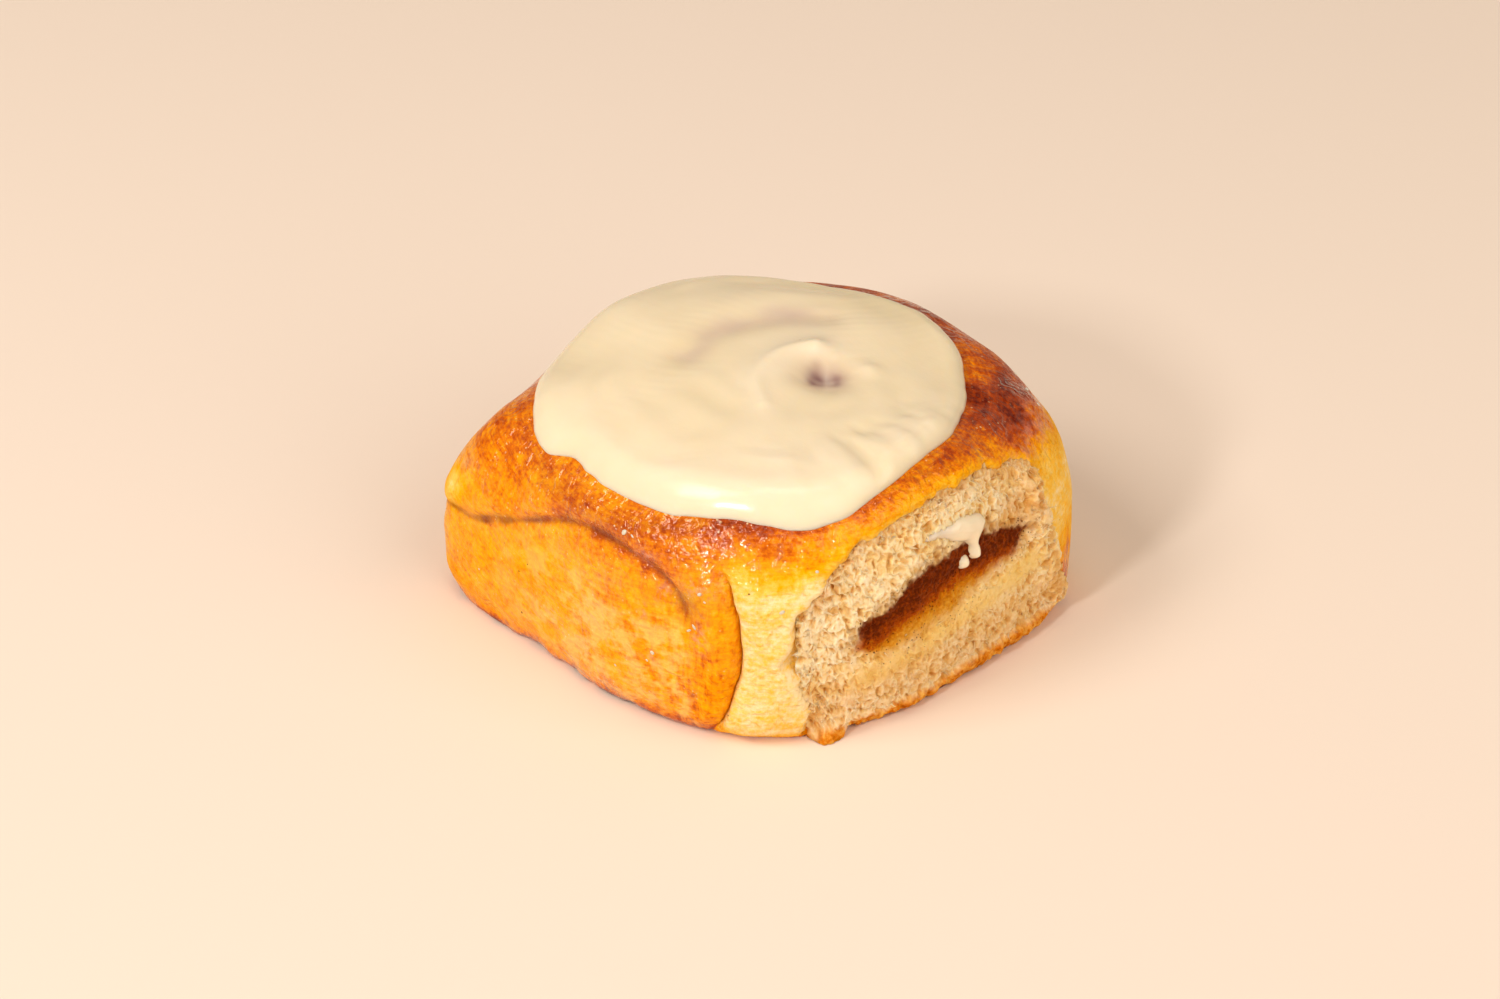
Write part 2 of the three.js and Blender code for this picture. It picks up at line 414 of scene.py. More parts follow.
def linear(code: str) -> tuple[float, float, float, float]:
    """A colour for a shader socket.

    Args:
        code: An sRGB colour such as "F0C080".

    Returns:
        Its linear red, green and blue, and an alpha of 1.
    """
    values = [int(code[i : i + 2], 16) / 255.0 for i in (0, 2, 4)]
    red, green, blue = (v / 12.92 if v <= 0.04045 else ((v + 0.055) / 1.055) ** 2.4 for v in values)
    return (red, green, blue, 1.0)


@dataclass
class Recipe:
    """The nodes of one material, with short ways to add the ones that every finish here needs.

    Attributes:
        name: The material's name.
        material: The Blender material.
        shader: Its Principled shader.
        place: The output that reads places in metres from the object.
    """

    name: str
    material: bpy.types.Material = field(init=False)
    shader: bpy.types.Node = field(init=False)
    place: Socket = field(init=False)

    def __post_init__(self) -> None:
        """Makes the material with a Principled shader."""
        self.material = bpy.data.materials.new(self.name)
        self.material.use_nodes = True
        self.shader = self.material.node_tree.nodes["Principled BSDF"]
        self.place = self.add("ShaderNodeTexCoord").outputs["Object"]

    def add(self, kind: str, settings: dict | None = None, **links: object) -> bpy.types.Node:
        """Adds a node with its settings and links.

        Args:
            kind: Blender's name for the node.
            settings: The node's own properties.
            **links: For each input, by its name with _ for a space or by its number after "in", a
                value or the output that it takes.

        Returns:
            The new node.
        """
        node = self.material.node_tree.nodes.new(kind)
        for key, value in (settings or {}).items():
            setattr(node, key, value)
        for key, value in links.items():
            numbered = key[:2] == "in" and key[2:].isdigit()
            self.feed(node.inputs[int(key[2:]) if numbered else key.replace("_", " ")], value)
        return node

    def feed(self, socket: Socket, value: object) -> None:
        """Gives a socket a value, or links an output to it."""
        if isinstance(value, bpy.types.NodeSocket):
            self.material.node_tree.links.new(value, socket)
        else:
            socket.default_value = value

    def mark(self, name: str) -> Socket:
        """The output that reads one of the mesh's marks."""
        return self.add("ShaderNodeAttribute", {"attribute_name": name}).outputs["Fac"]

    def cloud(self, place: Socket, detail: float) -> Socket:
        """Noise in 0..1 over places that are counted in spots, with finer layers."""
        fall = 0.6
        texture = self.add(
            "ShaderNodeTexNoise", Vector=place, Scale=1.0, Detail=detail, Roughness=fall
        )
        return texture.outputs["Fac"]

    def grain(
        self,
        size_mm: float,
        detail: float = 3.0,
        stretch: tuple[float, float, float] = (1.0, 1.0, 1.0),
    ) -> Socket:
        """Noise in 0..1 whose spots are about size_mm across.

        Args:
            size_mm: The real size of the largest spots.
            detail: How many finer layers it has.
            stretch: How many times longer the spots are along X, Y and Z.

        Returns:
            The noise's output.
        """
        scale = tuple(1.0 / (size_mm * MM * s) for s in stretch)
        place = self.add("ShaderNodeMapping", Vector=self.place, Scale=scale).outputs[0]
        return self.cloud(place, detail)

    def wrinkles(self, size_mm: float) -> Socket:
        """Noise of sharp branching ridges about size_mm apart, from 0 to about 2."""
        texture = self.add(
            "ShaderNodeTexNoise",
            {"noise_type": "RIDGED_MULTIFRACTAL"},
            Vector=self.place,
            Scale=1.0 / (size_mm * MM),
            Detail=2.0,
            Distortion=0.8,
            Offset=1.0,
        )
        return texture.outputs["Fac"]

    def strokes(self, around_mm: float, up_mm: float) -> Socket:
        """Noise in 0..1 drawn out round the roll.

        It is slow over X and Y, and quick along the mark climb, which is in mm.

        Args:
            around_mm: The strokes' size round the roll.
            up_mm: Their size up its side.

        Returns:
            The noise's output.
        """
        step = 1.0 / (around_mm * MM)
        level = self.add("ShaderNodeMapping", Vector=self.place, Scale=(step, step, 0.0))
        climb = self.add("ShaderNodeCombineXYZ", Z=self.times(self.mark("climb"), 1.0 / up_mm))
        place = self.add(
            "ShaderNodeVectorMath",
            {"operation": "ADD"},
            in0=level.outputs[0],
            in1=climb.outputs[0],
        )
        return self.cloud(place.outputs[0], 3.0)

    def specks(self, size_mm: float, share: float, chance: float = 0.28) -> Socket:
        """Small round specks, 1 on a speck and 0 elsewhere.

        Args:
            size_mm: The spacing of the places where a speck may be.
            share: The largest speck's radius as a share of the spacing.
            chance: How many of those places have a speck.

        Returns:
            The specks' output.
        """
        soft_rim = 0.04
        cells = self.add("ShaderNodeTexVoronoi", Vector=self.place, Scale=1.0 / (size_mm * MM))
        chosen = self.add("ShaderNodeSeparateColor", Color=cells.outputs["Color"]).outputs[0]
        near = self.add(
            "ShaderNodeMath",
            {"operation": "SUBTRACT"},
            in0=self.remap(chosen, 1.0 - chance, 1.0, 0.0, share),
            in1=cells.outputs["Distance"],
        )
        return self.remap(near.outputs[0], 0.0, soft_rim)

    def remap(
        self,
        value: object,
        low: float,
        high: float,
        to_low: float = 0.0,
        to_high: float = 1.0,
    ) -> Socket:
        """Maps low..high to to_low..to_high, clipped at both ends."""
        node = self.add(
            "ShaderNodeMapRange", in0=value, in1=low, in2=high, in3=to_low, in4=to_high
        )
        return node.outputs[0]

    def sum(self, *terms: tuple[object, float]) -> Socket:
        """Adds outputs, each times its own factor.

        Args:
            *terms: An output and its factor each.

        Returns:
            The sum's output.
        """
        total: object = 0.0
        for output, factor in terms:
            step = {"operation": "MULTIPLY_ADD"}
            total = self.add("ShaderNodeMath", step, in0=output, in1=factor, in2=total).outputs[0]
        return total

    def times(self, a: object, b: object) -> Socket:
        """The product of two outputs."""
        return self.add("ShaderNodeMath", {"operation": "MULTIPLY"}, in0=a, in1=b).outputs[0]

    def ramp(self, value: Socket, stops: Stops) -> Socket:
        """A colour for each value, from sRGB codes at a few rising stops."""
        node = self.add("ShaderNodeValToRGB", Fac=value)
        elements = node.color_ramp.elements
        while len(elements) < len(stops):
            elements.new(0.5)
        for element, (position, code) in zip(elements, stops):
            element.position = position
            element.color = linear(code)
        return node.outputs["Color"]

    def cover(self, under: Socket, code: str, share: object) -> Socket:
        """Lays an sRGB colour over another colour, by a share of 0..1."""
        return self.blend(under, linear(code), share)

    def blend(self, a: object, b: object, share: object) -> Socket:
        """Mixes colour b over colour a."""
        node = self.add("ShaderNodeMix", {"data_type": "RGBA"}, in0=share, in6=a, in7=b)
        return node.outputs[2]

    def finish(
        self,
        colour: object,
        roughness: object,
        height_mm: object = None,
        film_mm: object = None,
        **constants: object,
    ) -> bpy.types.Material:
        """Feeds the shader.

        Args:
            colour: The base colour.
            roughness: The roughness.
            height_mm: The fine relief's height in millimetres, or None.
            film_mm: The relief of the clear coat over it in millimetres, or None.
            **constants: Other inputs of the shader, by name with _ for a space.

        Returns:
            The finished material.
        """
        inputs = {"Base_Color": colour, "Roughness": roughness, **constants}
        for key, value in inputs.items():
            self.feed(self.shader.inputs[key.replace("_", " ")], value)
        for name, relief in (("Normal", height_mm), ("Coat Normal", film_mm)):
            if relief is not None:
                bump = self.add("ShaderNodeBump", Height=relief, Distance=MM, Strength=1.0)
                self.feed(self.shader.inputs[name], bump.outputs[0])
        return self.material


@dataclass(frozen=True)
class BakedCrust:
    """Enriched dough, egg-washed, baked in a pan and brushed with syrup.

    Browning runs from cream where the dough was covered to russet on the crown. The syrup dries
    to a thin wrinkled film, so the crown and the smooth side sparkle, while the pale dough stays
    soft and satin. The film is the shader's clear coat and has a relief of its own.

    Attributes:
        browning: The crust's colour at each degree of baking.
        syrup_and_shade: The dark syrup that gathers in creases, also laid as painted shade in the
            grooves and under the icing's edge.
        cream: The pale streaks where the glaze is thin.
        painted_sheen: The dull pink of painted sheen, where the glossy syrup would catch the light.
        sugar_and_glints: The pale flecks of sugar in the glaze, which also stand in for painted
            glints of the syrup film.
        cinnamon: The specks of cinnamon.
        gloss: The tint of the crust's own soft gloss.
        mottle_mm: The size of the blotches of browning.
        fleck_mm: The size of the flecks in them.
        brush_mm: The size of the brush's strokes, round the roll and up its side.
        pore_mm: The size of the finest pores.
    """

    browning: Stops = (
        (0.0, "FFE4B0"),
        (0.2, "FCCB5C"),
        (0.4, "FBB20C"),
        (0.55, "F29800"),
        (0.66, "DC7400"),
        (0.78, "B84C00"),
        (1.0, "701A00"),
    )
    syrup_and_shade: str = "80300E"
    cream: str = "FFD480"
    painted_sheen: str = "D8A090"
    sugar_and_glints: str = "FFE4B4"
    cinnamon: str = "4A1E08"
    gloss: str = "FFB050"
    mottle_mm: float = 3.6
    fleck_mm: float = 1.0
    brush_mm: tuple[float, float] = (7.0, 0.8)
    pore_mm: float = 0.4

    def build(self) -> bpy.types.Material:
        """Builds the material from the marks bake, glaze, syrup_and_shade_mask, streak,
        painted_sheen, flap and climb.
        """
        r = Recipe("baked_dough_crust")
        glaze = r.mark("glaze")
        mottle = r.grain(self.mottle_mm, 6.0)
        fleck = r.grain(self.fleck_mm, 5.0)
        # Painted sheen: a mask of pink patches where the glossy syrup would catch the light.
        painted_sheen = r.times(r.mark("painted_sheen"), r.remap(r.grain(1.6, 4.0), 0.42, 0.66))
        colour = self.baked_colour(r, mottle, fleck)
        colour = self.toppings(r, colour, glaze, painted_sheen)

        dried = r.strokes(2.8, 1.0)
        film = r.sum((r.wrinkles(3.0), 0.16), (r.grain(1.4, 1.0), 0.26), (dried, 0.09))
        pores = r.grain(self.pore_mm, 2.0)
        combed = r.strokes(3.0, 0.6)
        height = r.sum((film, 1.0), (fleck, 0.28), (pores, 0.09), (mottle, 0.50), (combed, 0.20))
        return r.finish(
            colour,
            r.sum((glaze, -0.30), (pores, 0.16), (painted_sheen, -0.1), (1.0, 0.50)),
            height,
            film,
            Subsurface_Weight=0.06,
            Subsurface_Radius=(0.0016, 0.0008, 0.0004),
            Subsurface_Scale=1.0,
            IOR=1.45,
            Specular_IOR_Level=0.2,
            Specular_Tint=linear(self.gloss),
            Coat_Weight=r.remap(glaze, 0.25, 0.9),
            Coat_Roughness=0.06,
            Coat_IOR=1.5,
        )

    def baked_colour(self, r: Recipe, mottle: Socket, fleck: Socket) -> Socket:
        """The dough's own colour: its degree of baking, broken up by blotches and strokes.

        Args:
            r: The recipe that the nodes go into.
            mottle: The blotches.
            fleck: The flecks.

        Returns:
            The colour.
        """
        brushed = r.strokes(*self.brush_mm)
        level = r.sum(
            (r.mark("bake"), 1.0), (mottle, 0.52), (fleck, 0.50), (brushed, 0.26), (1.0, -0.60)
        )
        pulled = r.sum((r.grain(1.1, 4.0, (1.0, 1.0, 6.0)), 1.0), (1.0, -0.46))
        level = r.sum((level, 1.0), (r.times(pulled, r.mark("flap")), 0.7))
        return r.ramp(level, self.browning)

    def toppings(self, r: Recipe, colour: Socket, glaze: Socket, painted_sheen: Socket) -> Socket:
        """Lays cream streaks, syrup and painted shade, painted sheen, sugar and painted glints, and
        cinnamon on the crust.

        Args:
            r: The recipe that the nodes go into.
            colour: The dough's own colour.
            glaze: How thick the glaze is.
            painted_sheen: How much painted sheen lies there.

        Returns:
            The colour with all of them on it.
        """
        torn_streaks = r.remap(r.strokes(5.0, 1.6), 0.5, 0.64)
        blots = r.remap(r.grain(5.0, 5.0), 0.47, 0.62)
        broken = r.remap(r.sum((torn_streaks, 0.5), (blots, 0.8)), 0.1, 0.8)
        colour = r.cover(colour, self.cream, r.times(r.times(r.mark("streak"), broken), 0.58))
        # Syrup colour in the creases; it also paints shade into the grooves and under the icing's
        # edge.
        colour = r.cover(colour, self.syrup_and_shade, r.times(r.mark("syrup_and_shade_mask"), 0.85))
        # Pink painted sheen laid into the colour.
        colour = r.cover(colour, self.painted_sheen, r.times(painted_sheen, 0.8))
        # Pale flecks of sugar, laid where the glaze is thick as painted glints of the syrup film.
        sugar_and_glints = r.times(r.specks(0.85, 0.33, 0.5), r.remap(r.grain(4.5, 3.0), 0.46, 0.6))
        colour = r.cover(colour, self.sugar_and_glints, r.times(sugar_and_glints, r.remap(glaze, 0.1, 0.8, 0.0, 0.6)))
        return r.cover(colour, self.cinnamon, r.times(r.specks(2.4, 0.13, 0.14), 0.85))


@dataclass(frozen=True)
class TornCrumb:
    """The inside of enriched white dough, pulled apart by hand.

    Its thin cell walls scatter light, so it is cream and matt. Its pores are a deeper gold, which is
    painted shade. Cinnamon sugar melted into a grainy brown paste, and the dough next to it took up
    its syrup and turned yellow.

    Attributes:
        crumb: The crumb's colour from the bottom of a pore to the tip of a strand.
        filling: The paste's colour from its dark lumps to its melted edge.
        rind: The baked base's colour, from its dark spots to its pale ones.
        soaked: The yellow dough next to the paste.
        toasted: The golden dough near the crust.
        grit: The grains of cinnamon.
        gloss: The tint of its faint gloss.
        grain_mm: The size of the crumb's finest cells.
        patch_mm: The size of its lighter and darker patches.
    """

    crumb: Stops = ((0.0, "BC8030"), (0.35, "E2AE64"), (0.65, "F3D092"), (1.0, "FFEECE"))
    filling: Stops = ((0.0, "6A2600"), (0.35, "AA5000"), (0.65, "CC8410"), (1.0, "E2AC44"))
    rind: Stops = ((0.3, "9C5008"), (0.45, "D68010"), (0.62, "F2B858"))
    soaked: str = "F2CB78"
    toasted: str = "D2923E"
    grit: str = "4A1E06"
    gloss: str = "FFE2B8"
    grain_mm: float = 0.5
    patch_mm: float = 4.0

    def build(self) -> bpy.types.Material:
        """Builds the material from rise, filling, melt, soaked, golden, sprinkle and rind."""
        r = Recipe("torn_bread_crumb")
        grain = r.grain(self.grain_mm, 3.0)
        patches = r.grain(self.patch_mm, 3.0)
        # rise follows the crumb's relief, so the colour darkens in the torn bubbles: painted shade in
        # the pores.
        rise = r.sum((r.mark("rise"), 1.0), (grain, 0.35), (patches, 0.25), (1.0, -0.3))
        colour = r.cover(r.ramp(rise, self.crumb), self.soaked, r.times(r.mark("soaked"), 0.7))
        toast = r.times(r.mark("golden"), r.remap(r.grain(1.5, 4.0), 0.35, 0.6, 0.3, 1.0))
        colour = r.cover(colour, self.toasted, r.times(toast, 0.75))

        filling = r.mark("filling")
        melt = r.sum((r.mark("melt"), 0.8), (r.grain(0.7, 4.0), 0.9), (patches, 0.3), (1.0, -0.55))
        colour = r.blend(colour, r.ramp(melt, self.filling), filling)
        grit = r.sum((r.specks(0.6, 0.34, 0.6), 1.0), (r.specks(1.3, 0.18, 0.4), 1.0))
        colour = r.cover(colour, self.grit, r.times(r.mark("sprinkle"), r.times(grit, 0.85)))
        rind = r.ramp(r.sum((r.grain(1.2, 4.0), 0.7), (patches, 0.3)), self.rind)
        return r.finish(
            r.blend(colour, rind, r.mark("rind")),
            r.remap(filling, 0.0, 1.0, 0.78, 0.5),
            r.sum((grain, 0.20), (r.grain(0.22, 2.0), 0.10)),
            Subsurface_Weight=0.6,
            Subsurface_Radius=(0.0013, 0.0011, 0.0008),
            Subsurface_Scale=1.0,
            IOR=1.4,
            Specular_IOR_Level=0.2,
            Specular_Tint=linear(self.gloss),
        )


@dataclass(frozen=True)
class CreamIcing:
    """Cream cheese icing, spread warm with a spatula.

    It is fat and sugar, so light goes some way into it, and its wet skin takes sharp highlights.
    Where it is thin the brown crust greys it.

    Attributes:
        thick: The colour of a thick layer.
        creamy: The yellower cast of its hollows.
        thin: The cast where the crust shows through.
        hole: The colour at the bottom of the hollow, where the crust all but shows.
        crumbs: The few tiny crumbs that it picked up.
        cloud_mm: The size of its faint clouds.
        ripple_mm: The size of the ripples in its skin.
    """

    thick: str = "F4E3C8"
    creamy: str = "EED9B4"
    thin: str = "C9AFA6"
    hole: str = "94706C"
    crumbs: str = "C88A3C"
    cloud_mm: float = 9.0
    ripple_mm: float = 2.4

    def build(self) -> bpy.types.Material:
        """Builds the material from the marks thin, hole and hollow."""
        r = Recipe("cream_cheese_icing")
        clouds = r.grain(self.cloud_mm, 3.0)
        cast = r.sum((r.mark("hollow"), 0.8), (clouds, 0.5))
        colour = r.cover(linear(self.thick), self.creamy, cast)
        colour = r.cover(colour, self.thin, r.mark("thin"))
        colour = r.cover(colour, self.hole, r.mark("hole"))
        colour = r.cover(colour, self.crumbs, r.times(r.specks(13.0, 0.05), 0.9))
        ripples = r.grain(self.ripple_mm, 3.0, (1.6, 1.0, 1.0))
        return r.finish(
            colour,
            r.remap(clouds, 0.3, 0.7, 0.18, 0.26),
            r.sum((ripples, 0.035), (r.grain(0.5, 2.0), 0.008)),
            Subsurface_Weight=0.45,
            Subsurface_Radius=(0.0030, 0.0022, 0.0014),
            Subsurface_Scale=1.0,
            IOR=1.45,
        )


@dataclass(frozen=True)
class PaperBackdrop:
    """Pale peach paper that the roll stands on: matt, with no texture that would show.

    Attributes:
        colour: The paper's colour.
    """

    colour: str = "F3E1D0"

    def build(self) -> bpy.types.Material:
        """Builds the material."""
        r = Recipe("pale_paper")
        return r.finish(linear(self.colour), 0.9, Specular_IOR_Level=0.1)


# ----------------------------------------------------------------------------
# The bun
# ----------------------------------------------------------------------------


class Place(Enum):
    """The parts of the bun's surface from the underside's middle up, with each one's rings."""

    UNDERSIDE = 24
    FOOT = 8
    SIDE_AND_SHOULDER = 112
    UNDER_ICING = 14


@dataclass(frozen=True)
class BunForm:
    """The bun's plain form: a rounded box whose corners and shoulders differ from side to side.

    Attributes:
        half_width: Half the size along X.
        half_depth: Half the size along Y.
        crown_height: Where the dome would peak with no icing on it.
        crown_x: The middle of the crown.
        belly_height: The level of the widest outline.
        foot_inset: How far the rounded foot pulls in at eight azimuths.
        corners: The squareness of the front left, front right, back right and back left corner.
        shoulder: The softness of the shoulder at eight azimuths.
        sag: How far the crown sinks under the icing, how far out that is level and where it is
            gone.
        icing_middle: The middle of the icing in X and Y.
        hidden_angles: Where the rings that the icing hides start and stop, in degrees.
    """

    half_width: float
    half_depth: float
    crown_height: float
    crown_x: float = -1.0
    belly_height: float = 7.4
    foot_inset: Directions = (6.2, 5.2, 5.0, 3.2, 3.2, 3.2, 3.2, 4.4)
    corners: tuple[float, float, float, float] = (8.5, 2.4, 4.0, 2.9)
    shoulder: Directions = (0.78, 0.6, 0.5, 0.32, 0.56, 0.35, 0.56, 0.38)
    sag: tuple[float, float, float] = (2.2, 30.0, 50.0)
    icing_middle: tuple[float, float] = (-3.2, 0.0)
    hidden_angles: tuple[float, float] = (76.0, 89.0)

    def outline(self, azimuth: Array) -> Array:
        """The widest outline's radius: (|cos/a|^n + |sin/b|^n)^(-1/n), with a power n for each
        corner.

        Args:
            azimuth: Directions from the crown's middle.

        Returns:
            The radius in each direction.
        """
        c, s = np.cos(azimuth), np.sin(azimuth)
        left, right, back_right, back_left = self.corners
        front, back = np.where(c < 0, left, right), np.where(c < 0, back_left, back_right)
        power = np.where(s < 0, front, back)
        half_width = self.half_width - np.sign(c) * self.crown_x
        across, deep = np.abs(c / half_width) ** power, np.abs(s / self.half_depth) ** power
        return (across + deep) ** (-1.0 / power)

    def polar(self, points: Array) -> tuple[Array, Array]:
        """The directions and distances of places from the crown's middle, as seen from above."""
        x, y = points[..., 0] - self.crown_x, points[..., 1]
        return np.arctan2(y, x), np.hypot(y, x)

    def at(self, azimuth: Array, radius: Array, height: Array) -> Array:
        """Places from a direction and distance from the crown's middle, and a height."""
        x = self.crown_x + radius * np.cos(azimuth)
        y = radius * np.sin(azimuth)
        return np.stack(np.broadcast_arrays(x, y, height), axis=-1)

    def sag_at(self, x: Array, y: Array) -> Array:
        """How far the crown sinks at a place, from the icing's middle outwards."""
        depth, level_to, gone_at = self.sag
        from_icing = np.hypot(x - self.icing_middle[0], y - self.icing_middle[1])
        return depth * (1.0 - smoothstep(level_to, gone_at, from_icing))

    def crown_at(self, x: Array, y: Array) -> Array:
        """The height of the crown over places of the table.

        The height over the belly is (1 - q^(2/e))^(e/2) of the dome's, where q is the share of the
        way to the outline and e the shoulder's softness.

        Args:
            x: The places' X.
            y: The places' Y.

        Returns:
            The height of the crown there.
        """
        azimuth = np.arctan2(y, x - self.crown_x)
        share = np.minimum(1.0, np.hypot(x - self.crown_x, y) / self.outline(azimuth))
        e = around(self.shoulder, azimuth)
        lift = np.maximum(0.0, 1.0 - share ** (2.0 / e)) ** (e / 2.0)
        dome = (self.crown_height - self.belly_height) * lift
        return self.belly_height + dome - self.sag_at(x, y)

    def side_at(self, azimuth: Array, height: Array) -> Array:
        """Places on the side, by direction and height, with the rounded foot below the belly.

        Args:
            azimuth: Directions from the crown's middle.
            height: Heights, below where the crown levels off.

        Returns:
            The places.
        """
        e = around(self.shoulder, azimuth)
        dome = self.crown_height - self.belly_height
        up = np.clip((height - self.belly_height) / dome, 0.0, 1.0)
        radius = self.outline(azimuth) * (1.0 - up ** (2.0 / e)) ** (e / 2.0)
        down = np.clip(1.0 - height / self.belly_height, 0.0, 1.0)
        inset = around(self.foot_inset, azimuth) * (1.0 - np.sqrt(1.0 - down**2))
        return self.at(azimuth, radius - inset, height)

    def rings(self, azimuth: Array) -> Array:
        """All rings of the bun's surface, from the underside's middle to the crown's.

        The underside is level, the foot is a quarter of an ellipse, and above the belly each column
        follows (cos^(2/e) + sin^(2/e))^(-e/2) times cosine and sine of an even angle.

        Args:
            azimuth: One direction for each column.

        Returns:
            The places, as rings, columns and X, Y, Z.
        """
        outline = self.outline(azimuth)[None, :]
        share = ((np.arange(Place.UNDERSIDE.value) + 1.0) / Place.UNDERSIDE.value)[:, None]
        inset = around(self.foot_inset, azimuth)[None, :]
        underside = self.at(azimuth, share * (outline - inset), 0.0 * share)
        steps = Place.FOOT.value
        turn = (0.5 * np.pi * (1.0 + np.arange(steps)) / (steps + 1.0))[:, None]
        foot_radius = outline - inset * (1.0 - np.sin(turn))
        foot = self.at(azimuth, foot_radius, self.belly_height * (1.0 - np.cos(turn)))
        start, stop = np.radians(self.hidden_angles[0]), np.radians(self.hidden_angles[1])
        side = np.linspace(0.0, start, Place.SIDE_AND_SHOULDER.value, endpoint=False)
        hidden = np.linspace(start, stop, Place.UNDER_ICING.value)
        angle = np.concatenate([side, hidden])[:, None]
        e = around(self.shoulder, azimuth)[None, :]
        reach = (np.cos(angle) ** (2.0 / e) + np.sin(angle) ** (2.0 / e)) ** (-e / 2.0)
        dome = self.crown_height - self.belly_height
        height = self.belly_height + dome * reach * np.sin(angle)
        upper = self.at(azimuth, outline * reach * np.cos(angle), height)
        upper[..., 2] -= self.sag_at(upper[..., 0], upper[..., 1])
        return np.concatenate([underside, foot, upper])


@dataclass(frozen=True)
class TornSide:
    """The torn patch on the +X side: its outline and the seams inside it, as points in Y and Z.

    Attributes:
        outline: Where the crust ends.
        filling: The pocket of cinnamon paste.
        rind: The upper edge of the baked base, seen where it tore.
        depth: How far the crust is cut back where it tore away.
    """

    outline: Outline = (
        (-34, 16), (-33.5, 24), (-31, 31), (-26, 37), (-18, 42), (-7, 44.8), (4, 45.2), (15, 42.8),
        (23, 40), (25, 35), (26.5, 28), (29.5, 20), (32.5, 12), (35, 5), (34, -3), (4, -4),
        (-25, -4), (-30, 1), (-31.5, 9),
    )
    filling: Outline = (
        (-23, 18.5), (-22, 22.5), (-17, 27), (-9.5, 31), (-2, 33.5), (6, 34), (14, 31.5),
        (21, 27.8), (18.5, 23.5), (9.5, 21.5), (0, 18.5), (-9, 16.8), (-17, 15.5),
    )
    rind: Outline = (
        (-36, 0.6), (-28, 1.6), (-20, 2.5), (-12, 3.0), (0, 3.4), (12, 4.2), (24, 4.4), (36, 4.0),
    )
    depth: float = 2.2

    def edge_distance(self, points: Array) -> Array:
        """The distance to the torn edge, negative inside, made ragged by noise of 4 and 1.4 mm."""
        y, z = points[..., 1], points[..., 2]
        distance = signed_distance(y, z, smooth_curve(self.outline, True))
        return distance + 1.1 * noise(points, 4.0, 41) + 0.55 * noise(points, 1.4, 42)


@dataclass(frozen=True)
class CrustRelief:
    """How far the crust's features stand out or sink in, in mm.

    A bump is the height, the place across the feature's line and the width of a bell.

    Attributes:
        strip_groove: The sharp and the soft part of the groove at the strip's end.
        strip_lip: The raised lip above that groove.
        strip_sink: How far the face below the strip end sinks.
        flap_swell: How far the dough between the strip end and the corner fold swells.
        fold_groove: The sharp and the soft part of the corner fold.
        fold_banks: The banks left and right of that fold.
        overhang: How far the left bank leans over that fold.
        torn_lip: The crust's raised edge round the torn patch.
        foot_cut: How much further the crust is cut back at its foot.
        scab_middle: The middle of the torn bit at the left corner, in X, Y and Z.
        scab_size: Its size along X, Y and Z.
        spiral_depth: How deep the spiral on the underside is.
    """

    strip_groove: tuple[Bump, ...] = ((0.85, 0.0, 0.9), (0.55, 0.0, 2.6))
    strip_lip: Bump = (0.5, 3.0, 2.2)
    strip_sink: float = 0.7
    flap_swell: float = 0.9
    fold_groove: tuple[Bump, ...] = ((1.7, 0.0, 0.8), (0.9, 0.0, 2.6))
    fold_banks: tuple[Bump, ...] = ((0.5, -2.8, 1.9), (1.0, 8.0, 6.0))
    overhang: float = 1.1
    torn_lip: Bump = (0.35, 1.2, 1.3)
    foot_cut: float = 2.0
    scab_middle: tuple[float, float, float] = (-41.5, -48.5, 27.0)
    scab_size: tuple[float, float, float] = (3.4, 4.0, 4.4)
    spiral_depth: float = 0.7


@dataclass(frozen=True)
class Browning:
    """How the crust browned and took its glaze.

    A field of eight numbers goes round the bun, as around() takes them. The marks that come from
    these run from 0 to about 1.

    Attributes:
        low: How baked the side is low down.
        high: How baked it is at the top.
        start: The height where it starts to turn darker, in mm.
        stop: The height where it is at its darkest, in mm.
        ring_bake: How much darker the ring next to the icing is.
        ring_glaze: How much glossier that ring is.
        brim: How dark the syrup and the painted contact shade at the icing's edge are.
        flap_bake: How baked the dough left of the corner fold is.
        cut_bake: How baked the cut-back rim of the torn patch is, low down and above.
        painted_sheen_blots: The blots of painted sheen on the -Y side, as X, Z, width and height in
            mm.
    """

    low: Directions = (0.42, 0.42, 0.06, 0.17, 0.14, 0.26, 0.34, 0.38)
    high: Directions = (0.62, 0.51, 0.54, 0.50, 0.74, 0.80, 0.76, 0.68)
    start: Directions = (22.0, 28.0, 31.0, 39.0, 33.0, 30.0, 26.0, 24.0)
    stop: Directions = (43.0, 44.0, 42.0, 50.0, 45.0, 46.0, 46.0, 45.0)
    ring_bake: Directions = (0.02, 0.08, 0.21, 0.14, 0.0, 0.0, 0.0, 0.06)
    ring_glaze: Directions = (0.2, 0.8, 0.8, 0.3, 0.0, 0.0, 0.0, 0.1)
    brim: Directions = (0.0, 0.5, 0.7, 0.3, 0.0, 0.0, 0.0, 0.0)
    flap_bake: float = 0.45
    cut_bake: tuple[float, float] = (0.62, 0.12)
    painted_sheen_blots: tuple[tuple[float, float, float, float], ...] = (
        (25.0, 33.0, 2.6, 2.0), (26.5, 23.5, 1.6, 3.4), (13.0, 35.6, 2.2, 1.0),
        (18.5, 30.0, 1.8, 2.6), (17.2, 16.0, 1.0, 2.6), (14.0, 24.5, 1.0, 2.2),
    )


